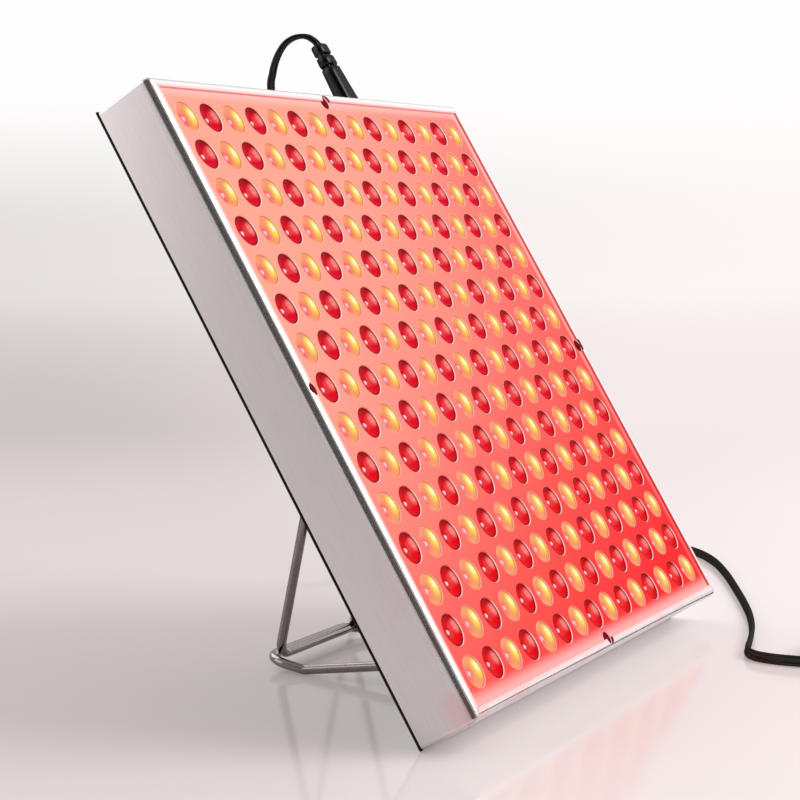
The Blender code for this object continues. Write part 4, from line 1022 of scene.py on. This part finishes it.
def makeClips():
    size = clipSizes
    inner = standSizes["wire"] / 2 + size["clearance"]
    outer = inner + size["sheet"]
    centre, reach = (0, -standSizes["standOff"]), outer + size["foot"]
    near, far = -size["seat"], -size["seat"] - size["sheet"]
    outline = (
        [(-reach, near), (-inner, near)] + arcPoints(centre, inner, 180, 360, 14)
        + [(inner, near), (reach, near), (reach, far), (outer, far)] + arcPoints(centre, outer, 0, -180, 14)
        + [(-outer, far), (-reach, far)]
    )
    mesh = meshOf(loft([[(x, y, z) for y, z in outline] for x in (-size["width"] / 2, size["width"] / 2)]))
    for way in (-1, 1):
        centre = (0, way * (outer + size["foot"] / 2))
        mesh = cut(mesh, cylinder(centre, coverSizes["holeRadius"], *size["holeCut"], 16))
    mesh = setOnPoints(softened(mesh, size["edge"]), [(x, y, 0) for x, y in clipPlaces()], clipZinc)
    return piece(
        "wireClips", mesh, clipZinc, "panel",
        ["strut_clip_left", "strut_clip_right", "loop_clip_left", "loop_clip_right"], panelPlace,
    )


makeCover()
makeScrews("coverScrews", coverScrewPlaces(), -screwSizes["seat"], screwSizes["coverLength"], "cover_screw")
clipTop = -screwSizes["seat"] - clipSizes["seat"] - clipSizes["sheet"]
makeScrews("clipScrews", clipScrewPlaces(), clipTop, screwSizes["clipLength"], "clip_screw")
makeClips()
print("back made")


# the folding wire stand
def onPanel(up, out):
    where = panelPlace @ Vector((0, up, out)) / mm
    return Vector((where.y, where.z))


def standLine(half, legs, corner, bend):
    side = [(half + standSizes["pin"], 0, 0), (half, 0, 0)] + [(half, out, up) for out, up in legs]
    radii = [standSizes["endBend"]] + [bend] * (len(legs) - 1) + [corner]
    other = [(-x, y, z) for x, y, z in reversed(side)]
    return roundCorners(side + other, radii + radii[::-1], 10)


def makeWire(name, node, body, hinge, turned, line):
    section = circlePoints(standSizes["wire"] / 2, 20)
    mesh = softened(sweep(line, section, (0, 0, 1)), standSizes["edge"], 2, 60)
    swung = Matrix.Rotation(turned, 4, "X")
    place = tableScale @ Matrix.Translation((standSizes["across"], hinge.x, hinge.y)) @ swung
    return piece(name, mesh, wireChrome, body, [node], place)


def makeStand():
    # the loop's legs lie on the table, and the strut's foot bears on the loop's raised end
    size = standSizes
    rise, heelOut, toeOut = math.radians(size["rise"]), size["heel"], size["toe"]
    strutHinge = onPanel(size["strutHinge"], -size["standOff"])
    loopHinge = onPanel(size["loopHinge"], -size["standOff"])
    lift = size["heelBend"] * (1 / math.cos(rise / 2) - 1)
    legTurn = -math.asin((loopHinge.y - size["wire"] / 2 - size["floorGap"] + lift) / heelOut)
    heel = loopHinge + heelOut * Vector((math.cos(legTurn), math.sin(legTurn)))
    toe = heel + toeOut * Vector((math.cos(legTurn + rise), math.sin(legTurn + rise)))
    span, apart = toe - strutHinge, size["wire"] + size["gap"]
    along = (size["strutLength"] ** 2 - apart ** 2 + span.length ** 2) / (2 * span.length)
    aside = math.sqrt(size["strutLength"] ** 2 - along ** 2)
    forward = span.normalized()
    foot = strutHinge + forward * along + Vector((forward.y, -forward.x)) * aside
    strutTurn = math.atan2(foot.y - strutHinge.y, foot.x - strutHinge.x)
    strutLine = standLine(size["strutHalf"], [(size["strutLength"], 0)], size["strutCorner"], 0)
    legs = [(heelOut, 0), (heelOut + toeOut * math.cos(rise), toeOut * math.sin(rise))]
    loopLine = standLine(size["loopHalf"], legs, size["loopCorner"], size["heelBend"])
    makeWire("standStrut", "stand_strut", "strut", strutHinge, strutTurn, strutLine)
    makeWire("floorLoop", "floor_loop", "loop", loopHinge, legTurn, loopLine)


makeStand()
print("stand made")

# what is inside keeps its solids and gets its finish, and so do the pins and blades
solids = {
    "corner_key": keyZinc, "supply_board": circuitMask, "supply_post": nylonWhite,
    "supply_capacitor": sleeveBlue, "supply_transformer": ferriteBlock, "inlet_lead": leadRed,
    "lamp_lead": leadRed, "mains_inlet": inletMould, "inlet_pin": bladeNickel, "mains_blade": bladeNickel,
}
for label in nodes:
    for start, finish in solids.items():
        if label.startswith(start):
            nodes[label].material_slots[0].material = finish

# floor, backdrop and light
studio = dict(
    floor="EAE2E1", gloss=0.1, size=7.0, near=0.55, far=1.3, nearShare=0.33, world=0.62,
    window=(0.887, -0.304, 0.347), doorway=(-0.86, -0.36, 0.38), leftward=(-0.4546, 0.8907, 0),
    key=58, fill=14, rim=24,
)


def leftGrey(tree, where):
    # 1 towards the grey left side of the surround and 0 towards its white right side, and the height
    x, y, z = addNode(tree, "ShaderNodeSeparateXYZ", (where,), None).outputs
    flat = addNode(tree, "ShaderNodeCombineXYZ", (x, y))
    unit = addNode(tree, "ShaderNodeVectorMath", (flat,), operation="NORMALIZE")
    side = addNode(tree, "ShaderNodeVectorMath", (unit, studio["leftward"]), "Value", operation="DOT_PRODUCT")
    return formula(tree, (side, -0.2, 0.3)), z


def makeTable():
    # a pale glossy table that runs on into the white surround
    bm = bmesh.new()
    bm.faces.new([bm.verts.new((x, y, 0)) for x, y in circlePoints(studio["size"], 64)])
    mesh = bpy.data.meshes.new("table")
    bm.to_mesh(mesh)
    bm.free()
    made, tree, shader = newMaterial("paleTable", studio["floor"], studio["gloss"])
    where = addNode(tree, "ShaderNodeTexCoord", out="Object")
    away = addNode(tree, "ShaderNodeVectorMath", (where,), "Value", operation="LENGTH")
    grey, _ = leftGrey(tree, where)
    worn = addNode(tree, "ShaderNodeTexNoise", {"Vector": where, "Scale": 3.0, "Detail": 2.0})
    fill(tree, shader, {
        "Roughness": formula(tree, (worn, 0.3, 0.7, 0.07, 0.13)), "Specular IOR Level": 0.3,
        "Base Color": layered(tree, studio["floor"], ("E4DCDB", grey, 0.6)),
    })
    # the surround's colours shine through more with distance, and a little near the panel too
    white = layered(tree, "F4EBEA", ("FCF6F5", (away, 1.0, 5.5)))
    dull = layered(tree, "CCC5C3", ("E2DDDB", (away, 1.0, 5.5)))
    surround = addNode(tree, "ShaderNodeEmission", (layered(tree, white, (dull, grey)), 1.0))
    path = addNode(tree, "ShaderNodeLightPath", out=None).outputs
    share = formula(tree, (
        "MULTIPLY", ("MAXIMUM", path["Is Camera Ray"], path["Is Glossy Ray"]),
        (away, studio["near"], studio["far"], studio["nearShare"], 1.0),
    ))
    both = addNode(tree, "ShaderNodeMixShader", (share, shader.outputs[0], surround))
    fill(tree, tree.nodes["Material Output"], (both,))
    mesh.materials.append(made)
    helper(mesh, "table")


def makeSurround():
    world = bpy.data.worlds.new("surround")
    bpy.context.scene.world = world
    world.use_nodes = True
    tree = world.node_tree
    where = addNode(tree, "ShaderNodeTexCoord", out="Generated")
    grey, up = leftGrey(tree, where)
    seen = layered(tree, "FCF6F5", ("E2DDDB", grey), ("FFFEFE", (up, -0.01, 0.07)))
    # what the metal mirrors: a bright window to the right, a dim doorway to the left
    window, doorway = (
        addNode(
            tree, "ShaderNodeVectorMath", (where, Vector(studio[label]).normalized()), "Value",
            operation="DOT_PRODUCT",
        )
        for label in ("window", "doorway")
    )
    lit = layered(
        tree, "FFFAFA", ((2.2, 2.1, 2.1, 1), (window, 0.72, 0.95)), ("060505", (doorway, 0.6, 0.86)),
    )
    lit = addNode(tree, "ShaderNodeVectorMath", {0: lit, 3: studio["world"]}, operation="SCALE")
    isSeen = addNode(tree, "ShaderNodeLightPath", out="Is Camera Ray")
    fill(tree, tree.nodes["Background"], {"Color": layered(tree, lit, (seen, isSeen))})


def makeLights():
    for name, place, height, size, tint in (
        ("key", (0.9, -1.9, 2.0), 0.15, 1.6, "FFFDFC"),
        ("fill", (-1.5, 2.2, 1.2), 0.15, 1.8, "FDF8FA"),
        ("rim", (0.8, 2.2, 1.9), 0.1, 1.8, "FFFFFF"),
    ):
        lamp = bpy.data.lights.new(name + "Light", "AREA")
        lamp.shape, lamp.size, lamp.energy = "SQUARE", size, studio[name]
        lamp.color = linear(tint)[:3]
        holder = bpy.data.objects.new(name + "Light", lamp)
        holder.location = place
        holder.rotation_mode = "QUATERNION"
        holder.rotation_quaternion = (Vector((0, 0, height)) - Vector(place)).to_track_quat("-Z", "Y")
        bpy.context.scene.collection.objects.link(holder)
    bpy.context.scene.view_settings.view_transform = "Standard"


makeTable()
makeSurround()
makeLights()
print("surround and light made")
